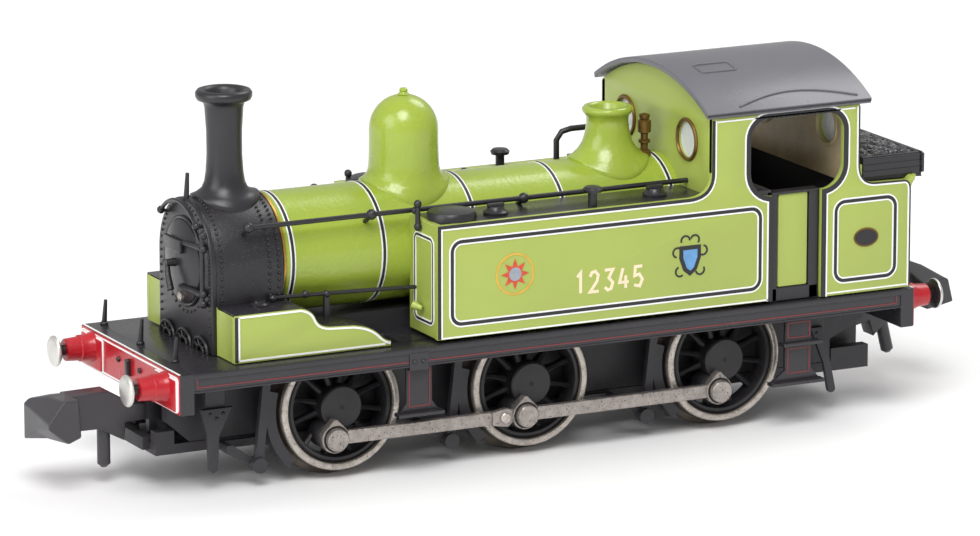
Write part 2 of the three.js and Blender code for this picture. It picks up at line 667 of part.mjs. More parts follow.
function cabShell() {
  const outer = alongX(archedEnd(cabHalfWidth, deckTop + gap, cabSideTop, roofRise), cabRear, cabFront, 8);
  const inner = box([cabRear + cabWall, cabFront - cabWall],
    [-cabHalfWidth + cabWall, cabHalfWidth - cabWall], [8, 25]);
  const sideCut = (y0, y1) => acrossY(roundedRectangle(-22.18, -15.12, 16.4, 21.3, 1.3), y0, y1, 4);
  const cuts = [
    bothSides(box([tankRear - 0.1, 0], [tankInnerY - gap, 9], [8, tankTop + gap])),
    box([-30, -16.8], [-9, 9], [8, bunkerTop + gap]),
    bothSides(sideCut(5, 9)),
    bothSides(rodX(1.3, cabFront - 1, cabFront + 1, 4.3, 19.66, 16)),
    bothSides(rodX(1.3, cabRear - 1, cabRear + 1, 4.3, 19.66, 16)),
    wheelWells(),
  ];
  // Each side sheet sweeps forward and down from the cab front onto the tank top.
  const sweep = new THREE.Shape();
  sweep.moveTo(cabFront - 0.1, tankTop + gap);
  sweep.lineTo(-10.6, tankTop + gap);
  sweep.quadraticCurveTo(cabFront, tankTop + 0.1, cabFront, 17.9);
  sweep.lineTo(cabFront - 0.1, 17.9);
  const sweeps = bothSides(acrossY(sweep, cabHalfWidth - cabWall, cabHalfWidth, 6));
  return outer.subtract(join([inner, ...cuts])).add(sweeps);
}

const roofFront = -11.71;
const roofRear = -24.14;
const roofHalfWidth = 8.0;
const roofThickness = 0.4;

function cabRoof() {
  const upper = alongX(archedEnd(roofHalfWidth, cabSideTop - 1, cabSideTop + roofThickness, roofRise),
    roofRear, roofFront, 10);
  const lower = alongX(archedEnd(roofHalfWidth + 0.6, cabSideTop - 3, cabSideTop - 0.15 + gap, roofRise + 0.15),
    roofRear - 1, roofFront + 1, 10);
  return upper.subtract(lower);
}

function backhead() {
  const end = new THREE.Shape();
  end.moveTo(-2.9, deckTop + gap);
  end.lineTo(2.9, deckTop + gap);
  end.absarc(0, boilerHeight, 2.9, 0, Math.PI);
  return alongX(end, cabFront - cabWall - 1.2, cabFront - cabWall - gap, 14);
}

// Bunker: side sheets that reach forward to the doorway, the set-back doors, and walls round the coal.
function bunker() {
  const side = new THREE.Shape();
  side.moveTo(bunkerFront, deckTop + gap);
  side.lineTo(bunkerFront, bunkerTop);
  side.lineTo(cabRear - gap, bunkerTop);
  side.lineTo(cabRear - gap, 17.49);
  side.quadraticCurveTo(cabRear - 0.15, 16.4, -24.4, bunkerTop + 0.1);
  side.lineTo(-27.2, bunkerTop + 0.05);
  side.lineTo(-27.75, 16.45);
  side.lineTo(bunkerRear, 15.6);
  side.lineTo(bunkerRear, deckTop + gap);
  const whole = acrossY(side, -cabHalfWidth, cabHalfWidth, 8);
  const coalRoom = box([bunkerRear + 0.55, cabRear - 0.6], [-7.2, 7.2], [9.3, 20]);
  const cabRoom = box([cabRear - 0.1, 0], [-7.2, 7.2], [8, 20]);
  const doors = bothSides(box([bunkerFront - 0.4, tankRear - gap], [6.9, 7.25], [deckTop + gap, 16.0]));
  return whole.subtract(coalRoom).subtract(cabRoom).add(doors);
}

const railsFront = -23.9;
const railsRear = -28.66;
const railsTop = 17.84;

// Coal rails: a stack of close bars on three sides of the coal, standing on the bunker's top edge.
function coalRails() {
  const base = 16.55;
  const outer = box([railsRear, railsFront], [-7.3, 7.3], [base, railsTop]);
  const inner = box([railsRear + 0.5, railsFront + 1], [-6.8, 6.8], [base - 1, railsTop + 1]);
  const ring = outer.subtract(inner);
  const grooves = [0.3, 0.64, 0.98].map((h) => {
    const band = box([railsRear - 1, railsFront + 1], [-8, 8], [base + h, base + h + 0.1]);
    return band.subtract(box([railsRear + 0.15, railsFront + 2], [-7.15, 7.15], [base, railsTop + 1]));
  });
  return ring.subtract(join(grooves));
}

// The coal: a rough heap that fills the bunker and rises above the rails.
function coalLoad() {
  const body = box([bunkerRear + 0.6, cabRear - 0.65], [-7.15, 7.15], [9.35, 16.5]);
  const heap = outline([[railsRear + 0.6, 16.48], [railsFront - 0.1, 16.48], [railsFront - 0.1, 17.6],
    [-25.2, 18.3], [-26.9, 18.2], [railsRear + 0.6, 17.5]]);
  return body.add(acrossY(heap, -6.7, 6.7));
}

// ---------------------------------------------------------------- the engine

placeWheelsets();
placeCouplingRods();
placeDrive();
place('chassis_block', chassisBlock(), black);
place('keeper_plate', keeperPlate(), black);
place('front_keeper_screw', keeperScrew(screwPlaces.front), steel);
place('rear_keeper_screw', keeperScrew(screwPlaces.rear), steel);
placePair('brake_gear', brakeGear(), black);
place('footplate', footplate(), black);
placeBufferEnds();
place('front_coupler', coupler(), black);
place('front_coupler_pocket', couplerPocket(), black);
place('rear_coupler', atRear(raised(coupler())), black);
place('rear_coupler_pocket', atRear(couplerPocket()), black);
place('smokebox', smokebox(), black);
place('smokebox_door', smokeboxDoor(), black);
place('boiler', boiler(), green);
place('chimney', chimney(), black);
place('dome', dome(), green);
place('safety_valve_bonnet', safetyValveBonnet(), green);
place('whistle', whistle(), brass);
placePair('handrail', handrail(), black);
placePair('tank', tank(), green);
placePair('sandbox', sandbox(), green);
place('cab_shell', cabShell(), green);
place('cab_roof', cabRoof(), roofGrey);
place('backhead', backhead(), beige);
place('bunker', bunker(), green);
place('coal_rails', coalRails(), black);
place('coal_load', coalLoad(), coalBlack);

engine.updateMatrixWorld(true);
const extent = new THREE.Box3().setFromObject(engine);
engine.position.x = -(extent.min.x + extent.max.x) / 2;

export default engine;
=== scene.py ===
from math import asin, cos, hypot, pi, radians, sin, sqrt

import bmesh
import bpy
from mathutils import Matrix, Vector

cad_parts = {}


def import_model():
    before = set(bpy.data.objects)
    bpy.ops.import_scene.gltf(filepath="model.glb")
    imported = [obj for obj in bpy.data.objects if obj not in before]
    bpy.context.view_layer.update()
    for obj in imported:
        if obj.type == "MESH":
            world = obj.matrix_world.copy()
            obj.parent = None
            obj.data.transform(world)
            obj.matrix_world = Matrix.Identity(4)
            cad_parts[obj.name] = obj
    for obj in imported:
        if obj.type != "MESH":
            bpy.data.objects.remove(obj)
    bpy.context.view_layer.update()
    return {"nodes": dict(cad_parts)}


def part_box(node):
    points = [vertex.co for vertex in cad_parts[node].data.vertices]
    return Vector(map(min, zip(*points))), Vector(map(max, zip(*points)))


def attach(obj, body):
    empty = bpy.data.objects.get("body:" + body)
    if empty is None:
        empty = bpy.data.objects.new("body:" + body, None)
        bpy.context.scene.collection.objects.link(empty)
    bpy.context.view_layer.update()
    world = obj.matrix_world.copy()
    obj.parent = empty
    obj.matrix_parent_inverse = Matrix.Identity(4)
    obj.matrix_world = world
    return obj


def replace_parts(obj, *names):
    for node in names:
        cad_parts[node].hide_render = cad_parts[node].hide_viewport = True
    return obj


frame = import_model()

MM = 0.001
axle_low, axle_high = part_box("middle_axle")
MIDDLE_X = (axle_low[0] + axle_high[0]) / 2 / MM
AXLE_Z = (axle_low[2] + axle_high[2]) / 2 / MM
AXLES = {"front": 13.73, "middle": 0.0, "rear": -14.42}
SIDES = {"left": 1, "right": -1}

# Driving sizes, the same as the frame's.
DECK = 8.71
DECK_HALF = 7.88
BOILER_R = 3.95
BOILER_Z = 14.15
SMOKEBOX_R = 4.15
SMOKEBOX_FRONT = 22.14
SMOKEBOX_REAR = 17.0
CAB_FRONT = -12.23
CAB_REAR = -23.39
SIDE_Y = 7.72
SIDE_TOP = 21.62
ROOF_RISE = 2.2
TANK_FRONT = 7.82
TANK_REAR = -16.85
TANK_TOP = 16.48
BUNKER_REAR = -27.37
FRONT_BEAM = 26.06
REAR_BEAM = -27.66
BUFFER_Y = 5.87
BUFFER_Z = 7.62
BUFFER_BASE = 1.7                 # half the side of the buffer's square base
WINDOW_Y = 4.3
WINDOW_Z = 19.66
HANDRAIL_Y = 4.32
HANDRAIL_Z = 16.92
WAIST = 16.1                      # top of the cab doors
CRANK = 2.0
LEFT_CRANK_ANGLE = -1.158
PAINT = 0.03                      # how far a painted line stands off its surface


def world(point):
    """A point in millimetres from the middle axle, in the frame's metres."""
    return Vector(((point[0] + MIDDLE_X) * MM, point[1] * MM, point[2] * MM))


# ---------------------------------------------------------------- materials

def linear(colour):
    """sRGB 0-255 to linear."""
    return tuple(((c / 255 + 0.055) / 1.055) ** 2.4 if c > 10 else c / 255 / 12.92 for c in colour)


def finish(name, colour, roughness, metallic=0.0, coat=0.0, shade=0.1, patch=1, grain=0.1, bump=0.1,
           specks_and_glints=None):
    """Paint or metal for one part slot: soft colour patches, uneven gloss, fine grain, optional speckling,
    which on the coal is painted glints.
    """
    made = bpy.data.materials.new(name)
    made.use_nodes = True
    nodes, links = made.node_tree.nodes, made.node_tree.links
    shader = nodes["Principled BSDF"]
    shader.inputs["Metallic"].default_value = metallic
    shader.inputs["Coat Weight"].default_value = coat
    shader.inputs["Coat Roughness"].default_value = 0.12
    where = nodes.new("ShaderNodeTexCoord")

    def noise(size, detail):
        texture = nodes.new("ShaderNodeTexNoise")
        texture.inputs["Scale"].default_value = 1 / (size * MM)
        texture.inputs["Detail"].default_value = detail
        links.new(where.outputs["Object"], texture.inputs["Vector"])
        return texture

    base = linear(colour)
    patches = noise(patch, 4)
    ramp = nodes.new("ShaderNodeValToRGB")
    ramp.color_ramp.elements[0].position = 0.3
    ramp.color_ramp.elements[0].color = (*[c * (1 - shade) for c in base], 1)
    ramp.color_ramp.elements[1].position = 0.7
    ramp.color_ramp.elements[1].color = (*[min(1, c * (1 + shade)) for c in base], 1)
    links.new(patches.outputs["Fac"], ramp.inputs["Fac"])
    colour_out = ramp.outputs["Color"]
    fine = noise(grain, 3)
    # A second colour mixed in where the fine noise is high: dark pitting on the steel, lighter speckling on
    # the smokebox, painted glints on the coal.
    if specks_and_glints:
        speck_and_glint_colour, threshold = specks_and_glints
        mask = nodes.new("ShaderNodeValToRGB")
        mask.color_ramp.elements[0].position = threshold
        mask.color_ramp.elements[1].position = threshold + 0.06
        links.new(fine.outputs["Fac"], mask.inputs["Fac"])
        mix = nodes.new("ShaderNodeMixRGB")
        mix.inputs["Color2"].default_value = (*linear(speck_and_glint_colour), 1)
        links.new(mask.outputs["Color"], mix.inputs["Fac"])
        links.new(colour_out, mix.inputs["Color1"])
        colour_out = mix.outputs["Color"]
    links.new(colour_out, shader.inputs["Base Color"])
    gloss = nodes.new("ShaderNodeMapRange")
    gloss.inputs["From Min"].default_value = 0.3
    gloss.inputs["From Max"].default_value = 0.7
    gloss.inputs["To Min"].default_value = roughness * 0.85
    gloss.inputs["To Max"].default_value = roughness * 1.15
    links.new(patches.outputs["Fac"], gloss.inputs["Value"])
    links.new(gloss.outputs["Result"], shader.inputs["Roughness"])
    relief = nodes.new("ShaderNodeBump")
    relief.inputs["Strength"].default_value = bump
    relief.inputs["Distance"].default_value = grain * MM * 0.4
    links.new(fine.outputs["Fac"], relief.inputs["Height"])
    links.new(relief.outputs["Normal"], shader.inputs["Normal"])
    return made


BODY_GREEN = finish("body_green", (162, 177, 84), 0.42, coat=0.15, shade=0.04, patch=6,
                    grain=0.16)
BOILER_GREEN = finish("boiler_green", (151, 171, 58), 0.27, coat=0.35, shade=0.05,
                      patch=4, grain=0.3, bump=0.22)
BLACK = finish("satin_black", (38, 36, 40), 0.34, shade=0.12, patch=3, bump=0.22)
DECK_BLACK = finish("footplate_black", (44, 42, 46), 0.27, patch=4, bump=0.18)
SMOKE_BLACK = finish("smokebox_black", (36, 34, 38), 0.34, shade=0.12, patch=2,
                     grain=0.085, bump=0.55, specks_and_glints=((84, 82, 88), 0.64))
COUPLER_BLACK = finish("coupler_black", (58, 56, 60), 0.36, shade=0.08, patch=2, bump=0.2)
GLOSS_BLACK = finish("gloss_black", (34, 32, 34), 0.28, grain=0.15, bump=0.35)
# Near black for painted shade in recesses: the hub centres and round the crank pins in the rod eyes.
RECESS_SHADE_BLACK = finish("painted_recess_shade", (12, 12, 13), 0.55, shade=0.15, patch=0.8, bump=0.3)
WHEEL_BLACK = finish("wheel_black", (38, 36, 39), 0.5, patch=1.5, grain=0.12, bump=0.35)
FRAME_BLACK = finish("frame_black", (48, 46, 50), 0.5, shade=0.12, patch=2, grain=0.12,
                     bump=0.3)
ROOF = finish("roof_grey", (100, 99, 105), 0.30, shade=0.06, patch=5, grain=0.12, bump=0.2)
RED = finish("beam_red", (176, 18, 32), 0.32, coat=0.2, shade=0.08, patch=1.2, grain=0.35,
             bump=0.3)
WHITE = finish("line_white", (240, 240, 240), 0.45, shade=0.03)
LINE_BLACK = finish("line_black", (34, 32, 36), 0.45, shade=0.06)
LINE_RED = finish("line_red", (122, 46, 50), 0.45, shade=0.08)
CREAM = finish("cream", (240, 222, 190), 0.45, shade=0.04)
BUFFER_STEEL = finish("buffer_steel", (214, 212, 207), 0.38, metallic=0.8, shade=0.08,
                      patch=0.8, bump=0.25)
ROD_STEEL = finish("rod_steel", (164, 156, 151), 0.36, metallic=0.75, shade=0.2, patch=0.5,
                   grain=0.14, bump=0.8, specks_and_glints=((104, 97, 94), 0.60))
TYRE_STEEL = finish("tyre_steel", (190, 182, 174), 0.34, metallic=0.75, shade=0.22,
                    patch=0.5, grain=0.13, bump=0.7, specks_and_glints=((112, 104, 96), 0.60))
FLANGE_STEEL = finish("flange_steel", (112, 104, 96), 0.36, metallic=0.75, shade=0.2,
                      patch=0.8, grain=0.12, bump=0.5)
BRASS = finish("brass", (176, 140, 66), 0.35, metallic=0.8, shade=0.2, patch=0.6, bump=0.3)
DARK_BRASS = finish("dark_brass", (120, 92, 46), 0.38, metallic=0.75, shade=0.2, patch=0.6, bump=0.3)
BEIGE = finish("cab_beige", (196, 178, 140), 0.5, shade=0.12, patch=1.5, grain=0.2, bump=0.4)
CAB_BROWN = finish("cab_brown", (112, 92, 52), 0.5, shade=0.12, grain=0.2, bump=0.4)
# The light dots on the coal are painted glints.
COAL = finish("coal", (66, 66, 69), 0.3, shade=0.5, patch=0.35, grain=0.12, bump=0.8,
              specks_and_glints=((196, 196, 200), 0.62))
PLASTIC = finish("gear_plastic", (226, 222, 208), 0.45, shade=0.04, bump=0.15)
# The window glaze is opaque and pale: its colour is a painted reflection of the white surroundings.
GLAZE_REFLECTION = finish("window_glaze_painted_reflection", (214, 218, 218), 0.12, shade=0.03, patch=1.5, grain=0.5,
               bump=0.25)
GOLD = finish("gold_line", (214, 170, 62), 0.4, patch=0.5, bump=0.15)
CREST_BLUE = finish("crest_blue", (96, 150, 200), 0.4, patch=0.4, bump=0.15)
EMBLEM_RED = finish("emblem_red", (206, 74, 48), 0.4, patch=0.4, bump=0.15)
EMBLEM_GREY = finish("emblem_grey", (150, 156, 166), 0.4, patch=0.4, bump=0.15)


# ---------------------------------------------------------------- mesh building

def piece(name, bm, material, body="root", smooth=40, bevel=0.0, segments=2):
    """A named object from a mesh in millimetres, riding on a body."""
    bmesh.ops.remove_doubles(bm, verts=bm.verts, dist=1e-4)
    bmesh.ops.recalc_face_normals(bm, faces=bm.faces)
    for vertex in bm.verts:
        vertex.co = world(vertex.co)
    mesh = bpy.data.meshes.new(name)
    bm.to_mesh(mesh)
    bm.free()
    mesh.materials.append(material)
    mesh.polygons.foreach_set("use_smooth", [True] * len(mesh.polygons))
    mesh.set_sharp_from_angle(angle=radians(smooth))
    made = bpy.data.objects.new(name, mesh)
    bpy.context.scene.collection.objects.link(made)
    if bevel:
        rounding = made.modifiers.new("rounding", "BEVEL")
        rounding.width = bevel * MM
        rounding.segments = segments
        rounding.limit_method = "ANGLE"
        rounding.angle_limit = radians(smooth)
        rounding.harden_normals = True
    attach(made, body)
    return made


def add_lathe(bm, profile, axis, centre, segments=48, shape=None):
    """A turned solid: profile is [(radius, place along axis)], closed where it meets the axis or itself."""
    rings = []
    for radius, along in profile:
        ring = []
        for i in range(segments if radius > 1e-6 else 1):
            turn = 2 * pi * i / segments
            u, v = radius * cos(turn), radius * sin(turn)
            point = {"X": (along, u, v), "Y": (u, along, v), "Z": (u, v, along)}[axis]
            point = Vector(point) + Vector(centre)
            ring.append(bm.verts.new(shape(point, radius) if shape else point))
        rings.append(ring)
    for low, high in zip(rings, rings[1:]):
        for i in range(segments):
            corners = [low[i % len(low)], low[(i + 1) % len(low)], high[(i + 1) % len(high)],
                       high[i % len(high)]]
            unique = list(dict.fromkeys(corners))
            if len(unique) > 2:
                bm.faces.new(unique)


def lathe(name, profile, axis, centre, material, body="root", segments=48, smooth=35, shape=None):
    """A piece turned about an axis through a centre."""
    bm = bmesh.new()
    add_lathe(bm, profile, axis, centre, segments, shape)
    return piece(name, bm, material, body, smooth)


def add_box(bm, x, y, z):
    """A box between the given pairs of limits."""
    centre = [(low + high) / 2 for low, high in (x, y, z)]
    size = [abs(high - low) for low, high in (x, y, z)]
    move = Matrix.Translation(centre) @ Matrix.Diagonal((*size, 1))
    bmesh.ops.create_cube(bm, size=1, matrix=move)


def boxes(name, limits, material, bevel=0.05, segments=2):
    """Several boxes joined into one piece."""
    bm = bmesh.new()
    for x, y, z in limits:
        add_box(bm, x, y, z)
    return piece(name, bm, material, bevel=bevel, segments=segments)


def add_ball(bm, centre, radius, stretch=(1, 1, 1), detail=10):
    """A ball, stretched if asked, added to a mesh."""
    move = Matrix.Translation(centre) @ Matrix.Diagonal((*[radius * s for s in stretch], 1))
    bmesh.ops.create_uvsphere(bm, u_segments=detail, v_segments=detail // 2 + 1, radius=1, matrix=move)


def balls(name, centres, radius, material, stretch=(1, 1, 1), detail=8):
    """Several balls joined into one piece."""
    bm = bmesh.new()
    for centre in centres:
        add_ball(bm, centre, radius, stretch, detail)
    return piece(name, bm, material, smooth=80)


PLANES = {
    "XZ": lambda u, v, w: (u, -w, v),
    "YZ": lambda u, v, w: (w, u, v),
    "XY": lambda u, v, w: (u, v, w),
}


def plate(name, outer, plane, start, end, material, holes=(), bevel=0.06, body="root"):
    """A flat piece cut to an outline, with holes and softly rounded edges, between two levels."""
    curve = bpy.data.curves.new(name, "CURVE")
    curve.dimensions = "2D"
    curve.fill_mode = "BOTH"
    thickness = abs(end - start)
    edge = min(bevel, thickness * 0.45)
    curve.extrude = thickness / 2 - edge
    curve.bevel_depth = edge
    curve.offset = -edge
    curve.bevel_resolution = 1 if edge < 0.1 else 3
    for points in (outer, *holes):
        spline = curve.splines.new("POLY")
        spline.points.add(len(points) - 1)
        for slot, (u, v) in zip(spline.points, points):
            slot.co = (u, v, 0, 1)
        spline.use_cyclic_u = True
    drawn = bpy.data.objects.new(name, curve)
    bpy.context.scene.collection.objects.link(drawn)
    flat = bpy.data.meshes.new_from_object(drawn.evaluated_get(bpy.context.evaluated_depsgraph_get()))
    bm = bmesh.new()
    bm.from_mesh(flat)
    bpy.data.objects.remove(drawn)
    bpy.data.curves.remove(curve)
    bpy.data.meshes.remove(flat)
    middle = (start + end) / 2
    if plane == "XZ":
        middle = -middle
    for vertex in bm.verts:
        u, v, w = vertex.co
        vertex.co = PLANES[plane](u, v, w + middle)
    return piece(name, bm, material, body, smooth=35)


def tube(name, points, radius, material, body="root", sides=10, end_radius=None):
    """A round bar along a line of points, with closed ends, even or tapering."""
    path = [Vector(p) for p in points]
    last = radius if end_radius is None else end_radius
    bm = bmesh.new()
    rings = []
    side = None
    for i, centre in enumerate(path):
        ahead = (path[min(i + 1, len(path) - 1)] - path[max(i - 1, 0)]).normalized()
        side = ahead.orthogonal() if side is None else side - ahead * side.dot(ahead)
        side.normalize()
        across = ahead.cross(side)
        reach = radius + (last - radius) * i / (len(path) - 1)
        turns = [2 * pi * k / sides for k in range(sides)]
        rings.append([bm.verts.new(centre + reach * (cos(t) * side + sin(t) * across)) for t in turns])
    join_rings(bm, rings)
    return piece(name, bm, material, body, smooth=60)


def join_rings(bm, rings):
    """Skins a row of equal rings of vertices and closes both ends."""
    for low, high in zip(rings, rings[1:]):
        for k in range(len(low)):
            follow = (k + 1) % len(low)
            bm.faces.new((low[k], low[follow], high[follow], high[k]))
    bm.faces.new(rings[0])
    bm.faces.new(reversed(rings[-1]))


def arc(u, v, radius, start, end, steps=10):
    """Points of an arc, angles in degrees."""
    turns = [radians(start + (end - start) * i / steps) for i in range(steps + 1)]
    return [(u + radius * cos(t), v + radius * sin(t)) for t in turns]


def rounded(u0, u1, v0, v1, r, steps=8):
    """A rectangle with rounded corners."""
    return (arc(u1 - r, v0 + r, r, -90, 0, steps) + arc(u1 - r, v1 - r, r, 0, 90, steps)
            + arc(u0 + r, v1 - r, r, 90, 180, steps) + arc(u0 + r, v0 + r, r, 180, 270, steps))


def bent(start, control, end, steps=10):
    """A curve from start to end, drawn towards one control point."""
    found = []
    for i in range(steps + 1):
        t = i / steps
        found.append(tuple((1 - t) ** 2 * a + 2 * t * (1 - t) * b + t * t * c
                           for a, b, c in zip(start, control, end)))
    return found


def at_side(side, low, high):
    """The same two levels on the left or, mirrored, on the right."""
    return (low, high) if side > 0 else (-high, -low)


def side_plate(name, outer, side, low, high, material, **more):
    """A plate in the plane of the engine's side, on the left or mirrored on the right."""
    return plate(name, outer, "XZ", *at_side(side, low, high), material, **more)


def moved_line(points, by, closed=False):
    """A line of points moved to its left by an even distance, with mitred corners."""
    path = []
    for point in map(Vector, points):
        if not path or (point - path[-1]).length > 1e-6:
            path.append(point)
    moved = []
    for i, here in enumerate(path):
        back = here - path[i - 1] if i or closed else path[1] - here
        ahead = path[(i + 1) % len(path)] - here if i + 1 < len(path) or closed else back
        back, ahead = back.normalized(), ahead.normalized()
        first, second = Vector((-back.y, back.x)), Vector((-ahead.y, ahead.x))
        moved.append(tuple(here + (first + second) * by / (1 + first.dot(second))))
    return moved


def inset(points, by):
    """A closed outline drawn in evenly by a distance."""
    area = sum(a[0] * b[1] - b[0] * a[1] for a, b in zip(points, points[1:] + points[:1]))
    return moved_line(points, by if area > 0 else -by, closed=True)


def paint_levels(level, out):
    """The two levels between which paint lies on a surface that faces out."""
    return sorted((level - out * 0.02, level + out * PAINT))


def closed_line(name, outline, start, width, plane, level, out, material):
    """A painted line that runs all the way round, the given distance inside an outline."""
    outer, inner = inset(outline, start), inset(outline, start + width)
    return plate(name, outer, plane, *paint_levels(level, out), material, holes=[inner], bevel=0)


def lined_panel(name, limits, radius, plane, level, out, widths=(0.10, 0.24, 0.10)):
    """White, black and white painted lines round a panel, one inside the next."""
    outline = rounded(*limits, radius)
    inward = 0.0
    for part, width, material in zip(("outer", "middle", "inner"), widths, (WHITE, LINE_BLACK, WHITE)):
        closed_line(f"{name}_{part}_line", outline, inward, width, plane, level, out, material)
        inward += width


def ribbon(name, points, width, plane, level, out, material):
    """A painted line of even width along a path of 2D points."""
    sides = moved_line(points, width / 2) + moved_line(points, -width / 2)[::-1]
    return plate(name, sides, plane, *paint_levels(level, out), material, bevel=0)


# ---------------------------------------------------------------- boiler, smokebox and mountings

def boiler_drop(y, radius):
    """How far a barrel of this radius has dropped at a distance from its crown."""
    return sqrt(max(radius ** 2 - y ** 2, 0)) - radius


def saddle(radius, neck, base):
    """Bends the flared foot of a turned mounting down over the barrel."""
    def shape(point, r):
        share = min(max((r - neck) / (base - neck), 0), 1)
        weight = share if point.z < BOILER_Z + radius + 2.2 else 0
        point.z += boiler_drop(point.y, radius) * weight
        return point
    return shape


def build_boiler():
    """The barrel with its lined bands and the brass joint ring."""
    barrel = [(0, CAB_FRONT), (BOILER_R, CAB_FRONT), (BOILER_R, SMOKEBOX_REAR), (0, SMOKEBOX_REAR)]
    body = lathe("boiler_barrel", barrel, "X", (0, 0, BOILER_Z), BOILER_GREEN, segments=96)
    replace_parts(body, "boiler")
    for i, x in enumerate((16.3, 9.8, 3.1, -3.5, -11.6)):
        band(f"boiler_band_{i}", x)
    ring = [(BOILER_R - 0.02, 16.8), (4.07, 16.8), (4.1, 16.86), (4.1, 16.99), (BOILER_R - 0.02, 16.99)]
    lathe("smokebox_joint_ring", ring, "X", (0, 0, BOILER_Z), BRASS, segments=96)


def band(name, x):
    """A boiler band: a thin raised strap painted white, black, white."""
    stripes = (("front", 0.10, 0.19, 0.035, WHITE), ("middle", -0.10, 0.10, 0.045, LINE_BLACK),
               ("rear", -0.19, -0.10, 0.035, WHITE))
    for part, start, end, lift, material in stripes:
        inner, outer = BOILER_R - 0.02, BOILER_R + lift
        ring = [(inner, x + start), (outer, x + start), (outer, x + end), (inner, x + end),
                (inner, x + start)]
        lathe(f"{name}_{part}", ring, "X", (0, 0, BOILER_Z), material, segments=96)


def smokebox_outline(radius, bottom):
    """The smokebox seen from the front: half round above straight sides."""
    return [(-radius, bottom), (radius, bottom)] + arc(0, BOILER_Z, radius, 0, 180, 40)


def build_smokebox():
    """The wrapper, the front plate and the rows of rivets."""
    wrapper = plate("smokebox_wrapper", smokebox_outline(SMOKEBOX_R - 0.08, DECK + 0.05), "YZ",
                    SMOKEBOX_REAR + 0.02, SMOKEBOX_FRONT - 0.35, SMOKE_BLACK, bevel=0.04)
    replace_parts(wrapper, "smokebox")
    plate("smokebox_front_plate", smokebox_outline(SMOKEBOX_R, DECK + 0.05), "YZ", SMOKEBOX_FRONT - 0.38,
          SMOKEBOX_FRONT, BLACK, bevel=0.1)
    reach = SMOKEBOX_R - 0.06
    rows = []
    for x in (SMOKEBOX_FRONT - 0.75, SMOKEBOX_REAR + 1.0, SMOKEBOX_REAR + 0.35):
        rows += [(x, y, z) for y, z in arc(0, BOILER_Z, reach, 0, 180, 36)]
        rows += [(x, side * reach, BOILER_Z - 0.46 * i) for side in (-1, 1) for i in range(1, 6)]
    balls("smokebox_wrapper_rivets", rows, 0.1, GLOSS_BLACK)
    face = [(SMOKEBOX_FRONT, y, z) for y, z in arc(0, BOILER_Z, 3.8, 0, 180, 26)]
    face += [(SMOKEBOX_FRONT, side * 3.8, BOILER_Z - 0.5 * i) for side in (-1, 1) for i in range(1, 9)]
    face += [(SMOKEBOX_FRONT, y, z) for y, z in arc(0, BOILER_Z, 3.3, 222, 318, 9)]
    balls("smokebox_face_rivets", face, 0.095, GLOSS_BLACK)


def build_smokebox_door():
    """The dished door with its straps, hinge, handles, number plate and handrail."""
    x = SMOKEBOX_FRONT
    dish = [(0, x - 0.05), (2.78, x - 0.05), (2.78, x + 0.06), (2.72, x + 0.2), (2.5, x + 0.3),
            (1.8, x + 0.52), (0.9, x + 0.68), (0, x + 0.72)]
    door = lathe("smokebox_door_dish", dish, "X", (0, 0, BOILER_Z), BLACK, segments=64, smooth=30)
    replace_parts(door, "smokebox_door")
    rim = [(2.76, x - 0.02), (2.95, x - 0.02), (2.98, x + 0.1), (2.9, x + 0.18), (2.76, x + 0.14),
           (2.76, x - 0.02)]
    lathe("smokebox_door_rim", rim, "X", (0, 0, BOILER_Z), BLACK, segments=64)
    for tag, low, high in (("lower", 12.72, 12.6), ("upper", 15.6, 15.66)):
        strap = [(x + 0.66, 0.7, low), (x + 0.42, 2.2, (low + high) / 2), (x + 0.3, 3.35, high)]
        tube(f"door_strap_{tag}", strap, 0.15, BLACK, sides=8, end_radius=0.24)
    hinge_y = 3.4
    tube("door_hinge_post", [(x + 0.32, hinge_y, 12.0), (x + 0.32, hinge_y, 16.5)], 0.15, BLACK)
    balls("door_hinge_lugs", [(x + 0.25, hinge_y, z) for z in (12.0, 12.65, 15.6, 16.5)], 0.28, BLACK)
    tube("door_dart", [(x + 0.6, 0, BOILER_Z), (x + 1.35, 0, BOILER_Z)], 0.3, GLOSS_BLACK, end_radius=0.22)
    tube("door_handle", [(x + 1.2, -0.15, 14.25), (x + 1.3, 0.2, 13.4), (x + 1.3, 0.62, 12.5)], 0.16,
         GLOSS_BLACK, end_radius=0.25)
    tube("door_handle_short", [(x + 1.05, 0.1, BOILER_Z), (x + 1.05, -0.8, 14.05)], 0.12, GLOSS_BLACK,
         end_radius=0.2)
    plate("number_plate", rounded(-1.55, 1.15, 14.9, 15.75, 0.12), "YZ", x + 0.6, x + 0.86, GLOSS_BLACK,
          bevel=0.04)
    disc = [(0, x + 0.3), (0.3, x + 0.36), (0.3, x + 0.55), (0.22, x + 0.6), (0, x + 0.6)]
    lathe("door_washout_disc", disc, "X", (0, 0.3, 11.9), TYRE_STEEL, segments=24)
    rail = [(x + 0.42, y, z) for y, z in arc(0, BOILER_Z, 3.98, 46, 134, 16)]
    tube("door_handrail", rail, 0.14, GLOSS_BLACK)
    knobs = [rail[0], rail[-1]]
    balls("door_handrail_knobs", knobs, 0.27, GLOSS_BLACK, detail=10)
    for i, (_, y, z) in enumerate(knobs):
        tube(f"door_handrail_stem_{i}", [(x - 0.05, y * 0.97, z - 0.1), (x + 0.42, y, z)], 0.12, GLOSS_BLACK)


